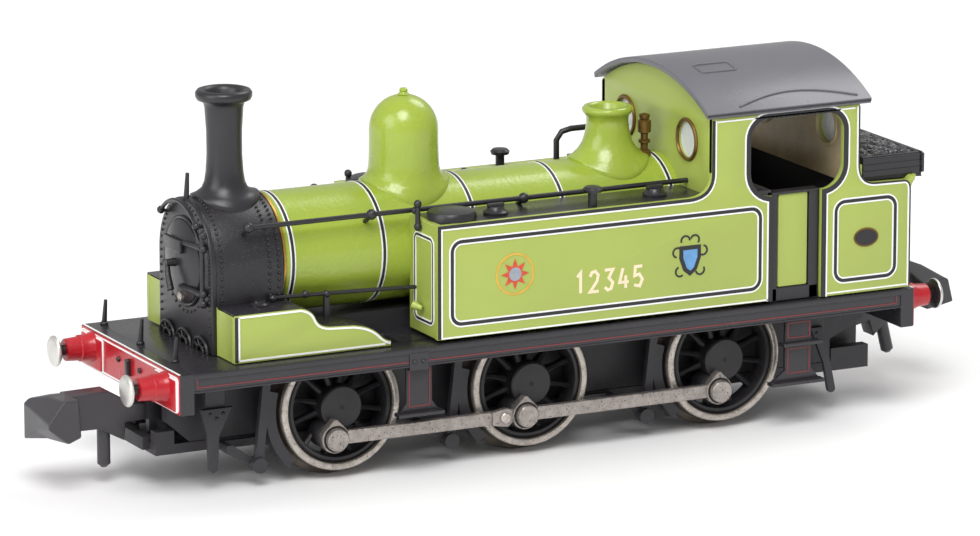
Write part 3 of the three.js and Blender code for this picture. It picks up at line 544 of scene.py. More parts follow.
def build_mountings():
    """The chimney, the dome, the safety valve bonnet and the whistle."""
    top = BOILER_Z + SMOKEBOX_R
    chimney = [(0, top - 0.5), (2.25, top - 0.5), (2.25, top + 0.02), (2.22, top + 0.13), (1.85, top + 0.2),
               (1.5, top + 0.42), (1.32, top + 0.85), (1.22, top + 1.5), (1.15, top + 2.6), (1.16, top + 4.2),
               (1.26, top + 5.7), (1.34, 24.3), (1.5, 24.42), (1.74, 24.5), (1.84, 24.7), (1.84, 24.95),
               (1.72, 25.12), (1.5, 25.18), (1.3, 25.1), (1.16, 24.9), (1.0, 24.0), (0.95, 22), (0, 22)]
    made = lathe("chimney_casting", chimney, "Z", (19.29, 0, 0), BLACK, segments=64, smooth=50,
                 shape=saddle(SMOKEBOX_R, 1.3, 2.25))
    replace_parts(made, "chimney")
    top = BOILER_Z + BOILER_R
    rounding = [(2.27 * cos(t), 21.35 + 2.3 * sin(t)) for t in (pi / 2 * i / 14 for i in range(14))]
    dome = [(0, top - 0.5), (2.95, top - 0.5), (2.95, top + 0.02), (2.95, top + 0.14),
            (2.84, top + 0.2), (2.6, top + 0.25), (2.42, top + 0.45), (2.33, top + 0.8),
            (2.29, top + 1.4), (2.27, top + 2.5), *rounding, (0.4, 23.64), (0.3, 23.74), (0.24, 23.82),
            (0.3, 23.92), (0.2, 24.05), (0, 24.08)]
    made = lathe("dome_cover", dome, "Z", (6.48, 0, 0), BOILER_GREEN, segments=72, smooth=60,
                 shape=saddle(BOILER_R, 2.3, 2.95))
    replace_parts(made, "dome")
    bonnet = [(0, top - 0.5), (2.75, top - 0.5), (2.75, top + 0.02), (2.75, top + 0.14),
              (2.64, top + 0.2), (2.3, top + 0.3), (1.98, top + 0.55), (1.68, top + 1.0),
              (1.5, top + 1.6), (1.4, top + 2.3), (1.42, top + 2.75), (1.55, top + 2.9),
              (1.68, top + 3.05), (1.68, top + 3.25), (1.55, top + 3.4), (1.3, top + 3.42),
              (1.12, top + 3.25), (1.05, top + 2.7), (0.9, top + 2.6), (0, top + 2.6)]
    made = lathe("valve_bonnet", bonnet, "Z", (-8.54, 0, 0), BOILER_GREEN, segments=64, smooth=50,
                 shape=saddle(BOILER_R, 1.5, 2.75))
    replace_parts(made, "safety_valve_bonnet")
    whistle = [(0, 17.9), (0.45, 17.9), (0.45, 18.3), (0.25, 18.45), (0.25, 18.8), (0.4, 18.9), (0.4, 19.05),
               (0.25, 19.15), (0.25, 19.5), (0.44, 19.6), (0.46, 20.35), (0.3, 20.45), (0.36, 20.6),
               (0.36, 20.78), (0, 20.9)]
    made = lathe("whistle_bell", whistle, "Z", (-11.0, 0.6, 0), DARK_BRASS, segments=24)
    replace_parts(made, "whistle")


def build_boiler_handrails():
    """A rail on knobs and stems along each side of the boiler."""
    foot = 3.9 / hypot(HANDRAIL_Y, HANDRAIL_Z - BOILER_Z)
    for name, side in SIDES.items():
        ends = [(CAB_FRONT, side * HANDRAIL_Y, HANDRAIL_Z), (19.8, side * HANDRAIL_Y, HANDRAIL_Z)]
        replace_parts(tube(f"{name}_boiler_rail", ends, 0.17, BLACK), f"{name}_handrail")
        places = [(x, side * HANDRAIL_Y, HANDRAIL_Z) for x in (19.6, 10.9, -0.1)]
        balls(f"{name}_rail_knobs", places, 0.36, BLACK, detail=12)
        for i, (x, y, z) in enumerate(places):
            near = (x, y * foot, BOILER_Z + (z - BOILER_Z) * foot)
            tube(f"{name}_rail_stem_{i}", [near, (x, y, z)], 0.17, BLACK)


# ---------------------------------------------------------------- side sheets, tanks, cab and bunker

def opening_edge():
    """The edge of the cab opening and doorway, from the deck at the back round to the deck in front."""
    return [(-20.55, 8.8), (-20.55, 16.12), *arc(-20.55, 17.75, 1.63, 270, 180, 8),
            *arc(-20.9, 20.0, 1.28, 180, 90, 8), *arc(-16.4, 20.0, 1.28, 90, 0, 8),
            *arc(-16.85, 17.75, 1.73, 0, -90, 8), (TANK_REAR, 8.95)]


def tank_sweep():
    """The curve from the tank top up into the cab front."""
    return bent((-10.6, TANK_TOP), (CAB_FRONT, TANK_TOP + 0.05), (CAB_FRONT, 18.0))


def bunker_sweep():
    """The curve from the cab rear down into the bunker top."""
    return bent((CAB_REAR, 17.6), (CAB_REAR, 16.2), (-24.7, 16.2))


def side_outline():
    """Tank side, cab side and bunker side in one sheet, with the doorway and the cab opening cut in."""
    return [
        (TANK_FRONT, 8.95), (TANK_FRONT, TANK_TOP),
        *tank_sweep(), (CAB_FRONT, SIDE_TOP), (CAB_REAR, SIDE_TOP), *bunker_sweep(),
        (-27.1, 16.15), *bent((-27.2, 16.15), (-27.4, 16.2), (-27.75, 16.45), 4),
        *bent((-27.7, 16.1), (BUNKER_REAR, 15.8), (BUNKER_REAR, 15.3), 6),
        (BUNKER_REAR, 8.8), *opening_edge(),
    ]


def edge_lines(name, points, side, edge=0.22, line=0.11):
    """A black edge with a white line inside it, along a path that has the sheet on its left."""
    level = side * SIDE_Y
    ribbon(f"{name}_black", moved_line(points, edge / 2), edge, "XZ", level, side, LINE_BLACK)
    ribbon(f"{name}_white", moved_line(points, edge + line / 2), line, "XZ", level, side, WHITE)


def build_side(name, side):
    """One side sheet with its tank, its painted panels and lines, and its door."""
    sheet = side_plate(f"{name}_side_sheet", side_outline(), side, SIDE_Y - 0.45, SIDE_Y, BODY_GREEN,
                       bevel=0.05)
    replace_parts(sheet, f"{name}_tank")
    front = ((TANK_FRONT - 0.5, TANK_FRONT - 0.01), at_side(side, 3.5, SIDE_Y - 0.02),
             (8.95, TANK_TOP - 0.02))
    boxes(f"{name}_tank_front", [front], BODY_GREEN, bevel=0.08)
    top = ((TANK_REAR, TANK_FRONT - 0.35), at_side(side, 3.3, SIDE_Y - 0.3),
           (TANK_TOP - 0.5, TANK_TOP - 0.06))
    boxes(f"{name}_tank_top", [top], DECK_BLACK, bevel=0.05)
    rear = ((TANK_REAR, TANK_REAR + 0.3), at_side(side, 3.8, SIDE_Y - 0.3), (9.3, TANK_TOP - 0.2))
    boxes(f"{name}_tank_rear", [rear], FRAME_BLACK, bevel=0.05)
    lined_panel(f"{name}_tank_panel", (-16.1, 7.03, 9.67, 15.55), 0.9, "XZ", side * SIDE_Y, side)
    lined_panel(f"{name}_bunker_panel", (-26.4, -21.4, 9.54, 15.35), 0.9, "XZ", side * SIDE_Y, side)
    low, high = at_side(side, 4.2, 7.15)
    lined_panel(f"{name}_tank_front_panel", (low, high, 9.7, 15.6), 0.55, "YZ", TANK_FRONT, 1,
                (0.09, 0.16, 0.09))
    tank_edge = [(TANK_FRONT, 9.0), (TANK_FRONT, TANK_TOP), *tank_sweep(), (CAB_FRONT, 21.5)]
    edge_lines(f"{name}_tank_edge", tank_edge, side)
    back = bent((-26.9, 16.16), (BUNKER_REAR, 16.1), (BUNKER_REAR, 15.4), 6)
    bunker_edge = [(CAB_REAR, 21.5), *bunker_sweep(), *back, (BUNKER_REAR, 8.9)]
    edge_lines(f"{name}_bunker_edge", bunker_edge, side, edge=0.12)
    edge_lines(f"{name}_opening_edge", opening_edge(), side, edge=0.34)
    white_lines = {
        "tank_foot": [(7.5, 9.05), (-16.5, 9.05)],
        "bunker_foot": [(-21.0, 9.0), (-27.1, 9.0)],
        "cab_top": [(-12.6, 21.4), (-23.0, 21.4)],
    }
    for part, path in white_lines.items():
        ribbon(f"{name}_{part}_line", path, 0.1, "XZ", side * SIDE_Y, side, WHITE)
    build_side_lining(name, side)
    build_door(name, side)


def build_side_lining(name, side):
    """The inner faces of the cab sides: light above the waist, dark below."""
    inner = SIDE_Y - 0.45
    upper = [(CAB_FRONT - 0.5, 16.2), (CAB_FRONT - 0.5, 21.4), (CAB_REAR + 0.5, 21.4), (CAB_REAR + 0.5, 16.2),
             *[p for p in opening_edge() if p[1] > WAIST]]
    side_plate(f"{name}_cab_lining", inset(upper, 0.06), side, inner - 0.1, inner - 0.01, BEIGE, bevel=0.02)
    lower = [((CAB_REAR + 0.5, -20.6), at_side(side, inner - 0.1, inner - 0.01), (8.9, WAIST)),
             ((CAB_REAR + 0.02, CAB_REAR + 0.12), at_side(side, 0, 7.2), (8.9, 16.25)),
             ((-20.5, -16.9), at_side(side, 6.85, 6.98), (8.8, WAIST))]
    boxes(f"{name}_cab_lower_lining", lower, FRAME_BLACK, bevel=0.02)


def build_door(name, side):
    """The cab door stands back from the sheet, between black posts."""
    level = at_side(side, 7.0, 7.4)
    posts = [((-20.5, -19.75), level, (8.75, WAIST)), ((-17.4, -16.9), level, (8.75, WAIST)),
             ((-20.5, -16.9), level, (8.75, 9.7))]
    boxes(f"{name}_door_posts", posts, BLACK, bevel=0.08)
    side_plate(f"{name}_door_panel", rounded(-19.68, -17.47, 9.72, 16.0, 0.12), side, 7.0, 7.32,
               BODY_GREEN)
    boxes(f"{name}_door_ledge", [((-20.5, -16.9), at_side(side, 6.6, 7.45), (16.0, 16.2))], BLACK, bevel=0.06)


def arched(half, bottom, side_top, rise, steps=28):
    """A sheet with upright sides and an arched top."""
    radius = (half ** 2 + rise ** 2) / (2 * rise)
    spread = asin(half / radius) * 180 / pi
    crown = arc(0, side_top + rise - radius, radius, 90 - spread, 90 + spread, steps)
    return [(-half, bottom), (half, bottom), *crown]


def build_cab():
    """The front and rear cab sheets, their linings and windows, the roof and the backhead."""
    windows = [arc(y, WINDOW_Z, 1.22, 0, 345, 23) for y in (-WINDOW_Y, WINDOW_Y)]
    half = SIDE_Y - 0.02
    for end, x, bottom, node in (("front", CAB_FRONT, TANK_TOP - 0.3, "cab_shell"),
                                 ("rear", CAB_REAR, 16.2, None)):
        way = 1 if end == "front" else -1
        sheet = plate(f"cab_{end}_sheet", arched(half, bottom, SIDE_TOP, ROOF_RISE), "YZ",
                      *sorted((x, x - way * 0.45)), BODY_GREEN, holes=windows, bevel=0.05)
        if node:
            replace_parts(sheet, node)
        plate(f"cab_{end}_lining", arched(half - 0.48, bottom, SIDE_TOP - 0.1, ROOF_RISE - 0.1), "YZ",
              *sorted((x - way * 0.46, x - way * 0.55)), BEIGE, holes=windows, bevel=0.02)
        for tag, y in (("left", WINDOW_Y), ("right", -WINDOW_Y)):
            build_spectacle(f"{tag}_{end}", x, y, way)
    build_roof()
    build_backhead()


def build_spectacle(name, x, y, way):
    """One round cab window: a ring outside, a ring inside and the glaze between them."""
    centre = (0, y, WINDOW_Z)
    ring = [(1.2, 0), (1.44, 0), (1.46, 0.1), (1.38, 0.18), (1.25, 0.2), (1.2, 0.12), (1.2, 0)]
    lathe(f"{name}_spectacle_ring", [(r, x + way * (t - 0.03)) for r, t in ring], "X", centre, DARK_BRASS)
    lathe(f"{name}_inner_ring", [(r, x - way * (0.5 + t)) for r, t in ring], "X", centre, BEIGE)
    # The pane is painted pale as a reflection, not seen through.
    pane = [(0, x - way * 0.18), (1.24, x - way * 0.18), (1.24, x - way * 0.26), (0, x - way * 0.26)]
    lathe(f"{name}_pane", pane, "X", centre, GLAZE_REFLECTION)


def build_roof():
    """The arched roof with its rain strips, its edges and the hatch frame."""
    upper = arched(8.0, SIDE_TOP + 0.02, SIDE_TOP + 0.42, ROOF_RISE + 0.02, 40)[2:]
    lower = arched(7.9, SIDE_TOP, SIDE_TOP + 0.06, ROOF_RISE, 40)[2:]
    roof = plate("roof_sheet", upper + lower[::-1], "YZ", -24.14, -11.71, ROOF, bevel=0.1)
    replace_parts(roof, "cab_roof")
    half, rise = 8.0, ROOF_RISE + 0.02
    radius = (half ** 2 + rise ** 2) / (2 * rise)
    crown = SIDE_TOP + 0.42 + rise

    def on_roof(x, y):
        return (x, y, crown - radius + sqrt(radius ** 2 - y ** 2) + 0.02)

    for name, side in SIDES.items():
        strip = [on_roof(-14.3 - 8.9 * i / 24, side * (7.65 - 0.95 * sin(pi * i / 24))) for i in range(25)]
        tube(f"{name}_rain_strip", strip, 0.08, ROOF, sides=8)
        boxes(f"{name}_roof_edge", [((-24.1, -11.75), at_side(side, 7.8, 7.98), (21.8, 22.0))],
              DECK_BLACK, bevel=0.04)
    corners = rounded(-16.3, -13.7, 2.2, 3.6, 0.2, 4)
    tube("roof_hatch_frame", [on_roof(x, y) for x, y in corners + corners[:1]], 0.07, ROOF, sides=8)


def build_backhead():
    """The boiler end inside the cab, with its fittings, and the cab floor."""
    rear = CAB_FRONT - 0.45
    outline = [(-2.9, DECK + 0.05), (2.9, DECK + 0.05), *arc(0, 13.9, 2.9, 0, 180, 24)]
    made = plate("backhead_plate", outline, "YZ", rear - 1.25, rear - 0.12, CAB_BROWN, bevel=0.2)
    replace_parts(made, "backhead")
    face = rear - 1.25
    wheel = [(0.42, face - 0.55), (0.52, face - 0.5), (0.52, face - 0.4), (0.42, face - 0.35),
             (0.42, face - 0.55)]
    lathe("backhead_valve_wheel", wheel, "X", (0, 1.1, 15.2), GLOSS_BLACK, segments=24)
    tube("backhead_regulator", [(face - 0.4, -0.9, 15.9), (face - 0.4, 0.7, 14.9)], 0.12, DARK_BRASS)
    tube("backhead_gauge_glass", [(face - 0.2, -1.3, 14.2), (face - 0.2, -1.3, 15.6)], 0.14, BRASS)
    plate("fire_door", rounded(-0.9, 0.9, 11.0, 12.4, 0.3), "YZ", face - 0.2, face + 0.1, GLOSS_BLACK)
    floor = ((CAB_REAR - 0.3, rear), (-6.9, 6.9), (DECK - 0.05, DECK + 0.12))
    boxes("cab_floor", [floor], CAB_BROWN, bevel=0.04)


def build_bunker():
    """The bunker walls, the flared rear top, the coal rails and the coal."""
    walls = boxes("bunker_walls", [
        ((BUNKER_REAR, BUNKER_REAR + 0.45), (-SIDE_Y + 0.02, SIDE_Y - 0.02), (8.8, 15.6)),
        ((CAB_REAR - 0.5, CAB_REAR), (-7.25, 7.25), (8.8, 17.4)),
    ], BODY_GREEN, bevel=0.06)
    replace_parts(walls, "bunker")
    flare = [*bent((BUNKER_REAR, 15.3), (BUNKER_REAR, 15.9), (-27.8, 16.4), 6),
             *bent((-27.45, 16.4), (BUNKER_REAR + 0.4, 16.0), (BUNKER_REAR + 0.45, 15.3), 6)]
    plate("bunker_flare", flare, "XZ", -SIDE_Y + 0.02, SIDE_Y - 0.02, BODY_GREEN, bevel=0.03)
    lined_panel("bunker_rear_panel", (-6.7, 6.7, 9.6, 15.1), 0.8, "YZ", BUNKER_REAR, -1)
    rails = []
    for low, high, out in ((16.14, 16.5, 0.16), (16.44, 16.92, 0), (16.88, 17.36, 0), (17.32, 17.76, 0),
                           (17.72, 17.86, 0.08)):
        rails += [((-28.66 + out, -28.2), (-7.3 + out, 7.3 - out), (low, high)),
                  ((-28.5, -23.9), (6.85, 7.3 - out), (low, high)),
                  ((-28.5, -23.9), (-7.3 + out, -6.85), (low, high))]
    made = boxes("coal_rail_bars", rails, BLACK, bevel=0.13, segments=3)
    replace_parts(made, "coal_rails")
    boxes("coal_rail_plate", [((-28.3, -23.9), (-6.95, 6.95), (16.3, 16.6))], BLACK, bevel=0.03)
    build_coal()


def build_coal():
    """Lumps of coal, laid in rows and turned and sized by a fixed rule."""
    bm = bmesh.new()
    rows, columns = 12, 34
    for i in range(rows):
        for j in range(columns):
            seed = (i * 37 + j * 91) % 17 / 17
            other = (i * 53 + j * 29) % 23 / 23
            x = -27.95 + 4.1 * (i + 0.5 * (j % 2) + 0.3 * seed) / rows
            y = min(max(-6.6 + 13.2 * (j + 0.4 * other) / (columns - 1), -6.6), 6.6)
            heap = (1 - (2 * (i + 0.5) / rows - 1) ** 2) * (1 - (y / 8.5) ** 2)
            z = 17.55 + 0.45 * heap + 0.2 * other
            size = 0.24 + 0.12 * seed
            turn = Matrix.Rotation(6.28 * other, 4, "Z") @ Matrix.Rotation(6.28 * seed, 4, "X")
            stretch = Matrix.Diagonal((size * 1.3, size, size * 0.8, 1))
            bmesh.ops.create_icosphere(bm, subdivisions=1, radius=1,
                                       matrix=Matrix.Translation((x, y, z)) @ turn @ stretch)
    add_box(bm, (-28.2, -23.95), (-6.85, 6.85), (16.5, 17.6))
    made = piece("coal_lumps", bm, COAL, smooth=10)
    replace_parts(made, "coal_load")


# ---------------------------------------------------------------- sandboxes and tank fittings

def sandbox_top():
    """The sandbox top from its front corner back and down to the deck."""
    return [(21.8, 11.9), (17.3, 11.9), *bent((17.16, 11.9), (16.35, 11.75), (16.1, 11.1), 6),
            *bent((16.05, 11.0), (15.8, 10.55), (15.1, 10.5), 5), (13.4, 10.4),
            *bent((13.3, 10.38), (12.2, 10.2), (11.6, 9.6), 6),
            *bent((11.55, 9.55), (11.2, 9.15), (10.8, 9.1), 4)]


def build_sandbox(name, side):
    """A sandbox over the front wheel, with its lid, lines and filler cap."""
    well = arc(AXLES["front"], AXLE_Z, 5.0, 126, 54, 14)
    outer = [(10.8, 8.78), (21.8, 8.78), *sandbox_top()]
    skin = side_plate(f"{name}_sandbox_side", outer, side, 6.45, 6.9, BODY_GREEN, bevel=0.04)
    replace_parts(skin, f"{name}_sandbox")
    core = [(10.8, 8.78), *well, (21.8, 8.78), *sandbox_top()]
    side_plate(f"{name}_sandbox_core", core, side, 4.2, 6.5, BODY_GREEN, bevel=0.03)
    top = moved_line(sandbox_top(), -0.05)
    lid = top + moved_line(sandbox_top(), 0.08)[::-1]
    side_plate(f"{name}_sandbox_lid", lid, side, 4.15, 6.84, DECK_BLACK, bevel=0.03)
    y = side * 6.9
    corner = [(21.68, 8.85), (21.68, 11.8)]
    ribbon(f"{name}_sandbox_corner_edge", corner, 0.22, "XZ", y, side, LINE_BLACK)
    ribbon(f"{name}_sandbox_front_line", [(21.5, 9.0), (21.5, 11.76)], 0.12, "XZ", y, side, WHITE)
    top_line = moved_line([(21.5, 11.9), *sandbox_top()[1:]], 0.13)
    ribbon(f"{name}_sandbox_top_line", top_line, 0.13, "XZ", y, side, WHITE)
    ribbon(f"{name}_sandbox_foot_line", [(21.5, 8.95), (11.2, 8.95)], 0.12, "XZ", y, side, WHITE)
    cap = [(0, 11.9), (0.62, 11.9), (0.62, 12.05), (0.45, 12.15), (0.42, 12.3), (0, 12.36)]
    lathe(f"{name}_sand_filler", cap, "Z", (19.2, side * 5.0, 0), GLOSS_BLACK, segments=24)


def build_tank_fittings(name, side):
    """Lids, vent, rail bracket, reach rod and cock of one tank."""
    y = side * 5.8
    lid = [(0, 16.35), (1.62, 16.35), (1.64, 16.75), (1.5, 16.98), (1.2, 17.05), (0, 17.12)]
    lathe(f"{name}_tank_filler_lid", lid, "Z", (5.9, y, 0), BLACK, segments=40)
    small = [(0, 16.3), (0.8, 16.3), (0.82, 16.6), (0.6, 16.75), (0.5, 16.95), (0, 17.0)]
    lathe(f"{name}_tank_clamp_lid", small, "Z", (2.7, y, 0), BLACK, segments=28)
    lathe(f"{name}_tank_rear_lid", small, "Z", (-9.1, side * 5.6, 0), BLACK, segments=28)
    vent = [(0, 16.3), (0.3, 16.3), (0.3, 17.35), (0.6, 17.4), (0.66, 17.6), (0.5, 17.76), (0, 17.82)]
    lathe(f"{name}_tank_vent", vent, "Z", (-3.94, side * 6.65, 0), BLACK, segments=28)
    bars = [((x - 0.6, x + 0.6), at_side(side, lid_y - 0.15, lid_y + 0.15), (16.9, 17.15))
            for x, lid_y in ((2.7, 5.8), (-9.1, 5.6))]
    boxes(f"{name}_tank_lid_bars", bars, BLACK, bevel=0.06)
    x = TANK_FRONT + 0.2
    tube(f"{name}_rail_bracket", [(x, side * 5.2, 15.75), (x, side * 5.2, 17.4)], 0.17, BLACK)
    knobs = [(x, side * 5.2, 17.5), (x, side * 4.85, 17.0), (x, side * 5.2, 16.0)]
    balls(f"{name}_rail_bracket_knobs", knobs, 0.28, BLACK)
    rod_y = side * 4.45
    rod = [(18.0, rod_y, 12.19), (14.2, rod_y, 12.1), (TANK_FRONT, rod_y, 11.85)]
    tube(f"{name}_reach_rod", rod, 0.14, BLACK)
    joints = [(18.0, rod_y, 12.15), (15.7, rod_y, 12.2), (14.2, rod_y, 12.05)]
    balls(f"{name}_reach_rod_joints", joints, 0.27, BLACK)
    boxes(f"{name}_reach_rod_bracket", [((14.02, 14.42), at_side(side, 4.3, 4.6), (10.4, 12.1))], BLACK,
          bevel=0.06)
    lever = [(8.0, side * 5.75, 10.7), (8.35, side * 5.2, 10.85)]
    tube(f"{name}_tank_cock", lever, 0.16, BODY_GREEN, end_radius=0.3)


def build_front_fittings():
    """Lamp irons, smokebox feet and the vent pipe."""
    for i, (x, y) in enumerate(((24.8, -7.1), (24.85, -1.1), (24.83, 4.35))):
        tube(f"lamp_iron_{i}", [(x, y, DECK - 0.05), (x - 0.1, y + 0.06, DECK + 1.65)], 0.2, BLACK, sides=8,
             end_radius=0.12)
        balls(f"lamp_iron_foot_{i}", [(x, y, DECK + 0.06)], 0.3, BLACK, stretch=(1, 1, 0.6))
    top = BOILER_Z + SMOKEBOX_R
    tube("smokebox_lamp_iron", [(22.0, 0, top - 0.15), (21.9, 0, top + 1.6)], 0.2, BLACK, sides=8,
         end_radius=0.13)
    for i, y in enumerate((-2.6, 0.0, 2.6)):
        build_fan(f"smokebox_foot_{i}", y)
    pipe = [(-7.6, -5.5, 16.4), (-7.6, -5.5, 18.2), (-8.0, -5.5, 18.75), (-8.7, -5.5, 18.9),
            (CAB_FRONT, -5.5, 18.9)]
    tube("vent_pipe", pipe, 0.2, BLACK)


def build_fan(name, y):
    """A half-round foot on the deck in front of the smokebox: two hoops joined by ribs."""
    x = SMOKEBOX_FRONT + 0.14
    flat = 0.85
    for part, reach in (("outer", 1.1), ("inner", 0.5)):
        hoop = [(x, v, w * flat + DECK * (1 - flat)) for v, w in arc(y, DECK + 0.02, reach, 0, 180, 12)]
        tube(f"{name}_{part}_hoop", hoop, 0.12, GLOSS_BLACK, sides=8)
    for k, turn in enumerate((36, 72, 108, 144)):
        across, up = cos(radians(turn)), flat * sin(radians(turn))
        rib = [(x, y + across * r, DECK + 0.02 + up * r) for r in (0.5, 1.1)]
        tube(f"{name}_rib_{k}", rib, 0.09, GLOSS_BLACK, sides=6)


# ---------------------------------------------------------------- footplate, beams and buffers

def build_footplate():
    """The deck with its wheel slots, and the valances, steps and guard irons under it."""
    x0, x1 = REAR_BEAM + 0.95, FRONT_BEAM - 0.95
    slots = [rounded(x - 4.1, x + 4.1, side * 4.7 - 1.2, side * 4.7 + 1.2, 0.3, 3)
             for x in AXLES.values() for side in (-1, 1)]
    outline = [(x0, -DECK_HALF), (x1, -DECK_HALF), (x1, DECK_HALF), (x0, DECK_HALF)]
    deck = plate("footplate_deck", outline, "XY", DECK - 0.42, DECK, DECK_BLACK, holes=slots, bevel=0.08)
    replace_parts(deck, "footplate")
    outer = 7.8
    sheet = [(x0, 7.46), (x1, 7.46), (x1, DECK - 0.2), (x0, DECK - 0.2)]
    line = [(24.85, 8.35), (24.85, 7.78), (-26.3, 7.78), (-26.3, 8.35)]
    for name, side in SIDES.items():
        side_plate(f"{name}_valance", sheet, side, 7.35, outer, DECK_BLACK, bevel=0.06)
        boxes(f"{name}_valance_lip", [((x0, x1), at_side(side, 7.3, 7.86), (7.42, 7.56))], DECK_BLACK,
              bevel=0.05)
        ribbon(f"{name}_valance_line", line, 0.07, "XZ", side * outer, side, LINE_RED)
        build_steps(name, side)
        build_guard_irons(name, side)


def build_steps(name, side):
    """The front and cab steps of one side."""
    level = at_side(side, 7.2, 7.5)
    front = [(8.15, 7.7), (10.0, 7.7), (10.0, 5.0), (10.5, 4.3), (7.6, 4.3), (8.15, 5.0)]
    plate(f"{name}_front_step_plate", front, "XZ", *level, DECK_BLACK)
    rear = [(-18.0, 8.3), (-20.0, 8.3), (-20.0, 4.0), (-20.7, 3.2), (-16.9, 3.2), (-18.0, 4.0)]
    plate(f"{name}_cab_step_plate", rear, "XZ", *level, DECK_BLACK)
    tread = at_side(side, 7.2, 8.0)
    treads = [((7.45, 10.75), tread, (4.15, 4.4)), ((-20.6, -17.65), tread, (5.7, 5.95)),
              ((-20.8, -16.8), tread, (3.05, 3.3))]
    boxes(f"{name}_step_treads", treads, DECK_BLACK, bevel=0.06)
    boxes(f"{name}_front_step_tab", [((8.6, 9.95), at_side(side, 7.4, 7.92), (7.2, 8.4))], DECK_BLACK,
          bevel=0.06)
    balls(f"{name}_front_step_rivets", [(x, side * 7.92, 7.8) for x in (8.95, 9.6)], 0.16, DECK_BLACK)
    panels = {
        "front_step": [(8.15, 7.4), (10.0, 7.4), (10.0, 4.55), (8.15, 4.55)],
        "cab_step_upper": [(-18.0, 7.4), (-20.0, 7.4), (-20.0, 6.0), (-18.0, 6.0)],
        "cab_step_lower": [(-18.0, 5.65), (-20.0, 5.65), (-20.0, 3.6), (-18.0, 3.6)],
    }
    for part, outline in panels.items():
        closed_line(f"{name}_{part}_line", outline, 0.16, 0.07, "XZ", side * 7.5, side, LINE_RED)


def build_guard_irons(name, side):
    """The guard irons ahead of the front wheels and behind the rear ones, with their brackets and bolts."""
    irons = {
        "front": [(23.36, 5.5), (22.9, 3.7), *arc(22.475, 1.55, 0.325, 0, -180, 6), (22.05, 3.7),
                  (21.12, 5.5)],
        "rear": [(-21.4, 6.0), (-22.44, 3.4), *arc(-23.08, 1.65, 0.31, 0, -180, 6), (-22.95, 3.6),
                 (-22.3, 6.0)],
    }
    for part, outline in irons.items():
        side_plate(f"{name}_{part}_guard_iron", outline, side, 4.62, 4.98, FRAME_BLACK, bevel=0.08)
    brackets = [((low, high), at_side(side, 4.2, 4.66), (5.3, 8.3))
                for low, high in ((21.5, 22.9), (-22.6, -21.5))]
    boxes(f"{name}_guard_iron_brackets", brackets, FRAME_BLACK, bevel=0.06)
    bolts = [(x, side * 4.98, z) for x, z in ((21.8, 5.15), (22.25, 4.85), (22.7, 5.15), (-21.85, 5.6))]
    balls(f"{name}_guard_iron_bolts", bolts, 0.12, GLOSS_BLACK)


def build_beam(name, face, out):
    """One buffer beam, facing out, with its red face, border and buffers."""
    across = (-DECK_HALF, DECK_HALF)
    x = tuple(sorted((face - out, face)))
    beam = boxes(f"{name}_beam_plate", [(x, across, (6.06, DECK))], DECK_BLACK, bevel=0.07)
    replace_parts(beam, f"{name}_beam")
    thin = tuple(sorted((face - out * 0.05, face + out * 0.05)))
    boxes(f"{name}_beam_face", [(thin, (-DECK_HALF + 0.06, DECK_HALF - 0.06), (6.12, DECK - 0.06))],
          RED, bevel=0.02)
    border = rounded(-7.74, 7.74, 6.2, 8.54, 0.3, 3)
    levels = sorted((face, face + out * 0.09))
    plate(f"{name}_beam_border", border, "YZ", *levels, WHITE, holes=[inset(border, 0.11)], bevel=0)
    # A white strip along the top front edge of the beam: a painted highlight.
    boxes(f"{name}_beam_top_edge_highlight", [(tuple(sorted((face - out * 0.12, face - out * 0.02))), (-7.7, 7.7),
                                     (DECK - 0.02, DECK + 0.03))], WHITE, bevel=0)
    levels = sorted((face, face + out * 0.35))
    plate(f"{name}_draw_hook", rounded(-0.22, 0.22, 6.95, 8.1, 0.15, 3), "YZ", *levels, GLOSS_BLACK)
    bolts = [(face + out * 0.06, y, 7.7) for y in (-1.7, 1.7)]
    balls(f"{name}_beam_bolts", bolts, 0.2, GLOSS_BLACK)
    for side_name, side in SIDES.items():
        build_buffer(name, face, out, side_name, side)


def build_buffer(name, face, out, side_name, side):
    """One buffer: square base, socket, shank and head."""
    centre = (0, side * BUFFER_Y, BUFFER_Z)
    title = f"{name}_{side_name}_buffer"

    def along(profile):
        return [(r, face + out * t) for r, t in profile]

    y = side * BUFFER_Y
    base = rounded(y - BUFFER_BASE, y + BUFFER_BASE, 6.2, 8.4, 0.15, 2)
    plate(f"{title}_base_edge", base, "YZ", *sorted((face, face + out * 0.14)), WHITE, bevel=0.03)
    plate(f"{title}_base", inset(base, 0.09), "YZ", *sorted((face, face + out * 0.24)), RED, bevel=0.06)
    housing = [(0, 0.1), (1.0, 0.1), (0.95, 0.32), (0.9, 0.42), (0.88, 1.1), (0.8, 1.16), (0.74, 2.05),
               (0.66, 2.12), (0.4, 2.14), (0, 2.14)]
    lathe(f"{title}_housing", along(housing), "X", centre, RED, segments=40)
    shank = [(0, 1.9), (0.36, 1.9), (0.36, 2.42), (0.5, 2.46), (0.5, 2.54), (0, 2.54)]
    lathe(f"{title}_shank", along(shank), "X", centre, GLOSS_BLACK, segments=24)
    # The back of the metal head is gloss black: a painted dark reflection.
    back = [(0, 2.46), (0.4, 2.48), (0.9, 2.62), (1.0, 2.7), (1.0, 2.76), (0, 2.8)]
    lathe(f"{title}_head_back_dark_reflection", along(back), "X", centre, GLOSS_BLACK, segments=48)
    head = [(0, 2.7), (1.0, 2.7), (1.03, 2.76), (1.02, 2.86), (0.94, 2.93), (0.6, 2.98), (0, 3.0)]
    made = lathe(f"{title}_head", along(head), "X", centre, BUFFER_STEEL, segments=48, smooth=50)
    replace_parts(made, title)


# ---------------------------------------------------------------- wheels, rods and couplers

def crank_at(side):
    """Where a side's crank pin sits from its axle: the right one is a quarter turn on from the left."""
    angle = LEFT_CRANK_ANGLE if side > 0 else LEFT_CRANK_ANGLE + pi / 2
    return CRANK * cos(angle), CRANK * sin(angle)


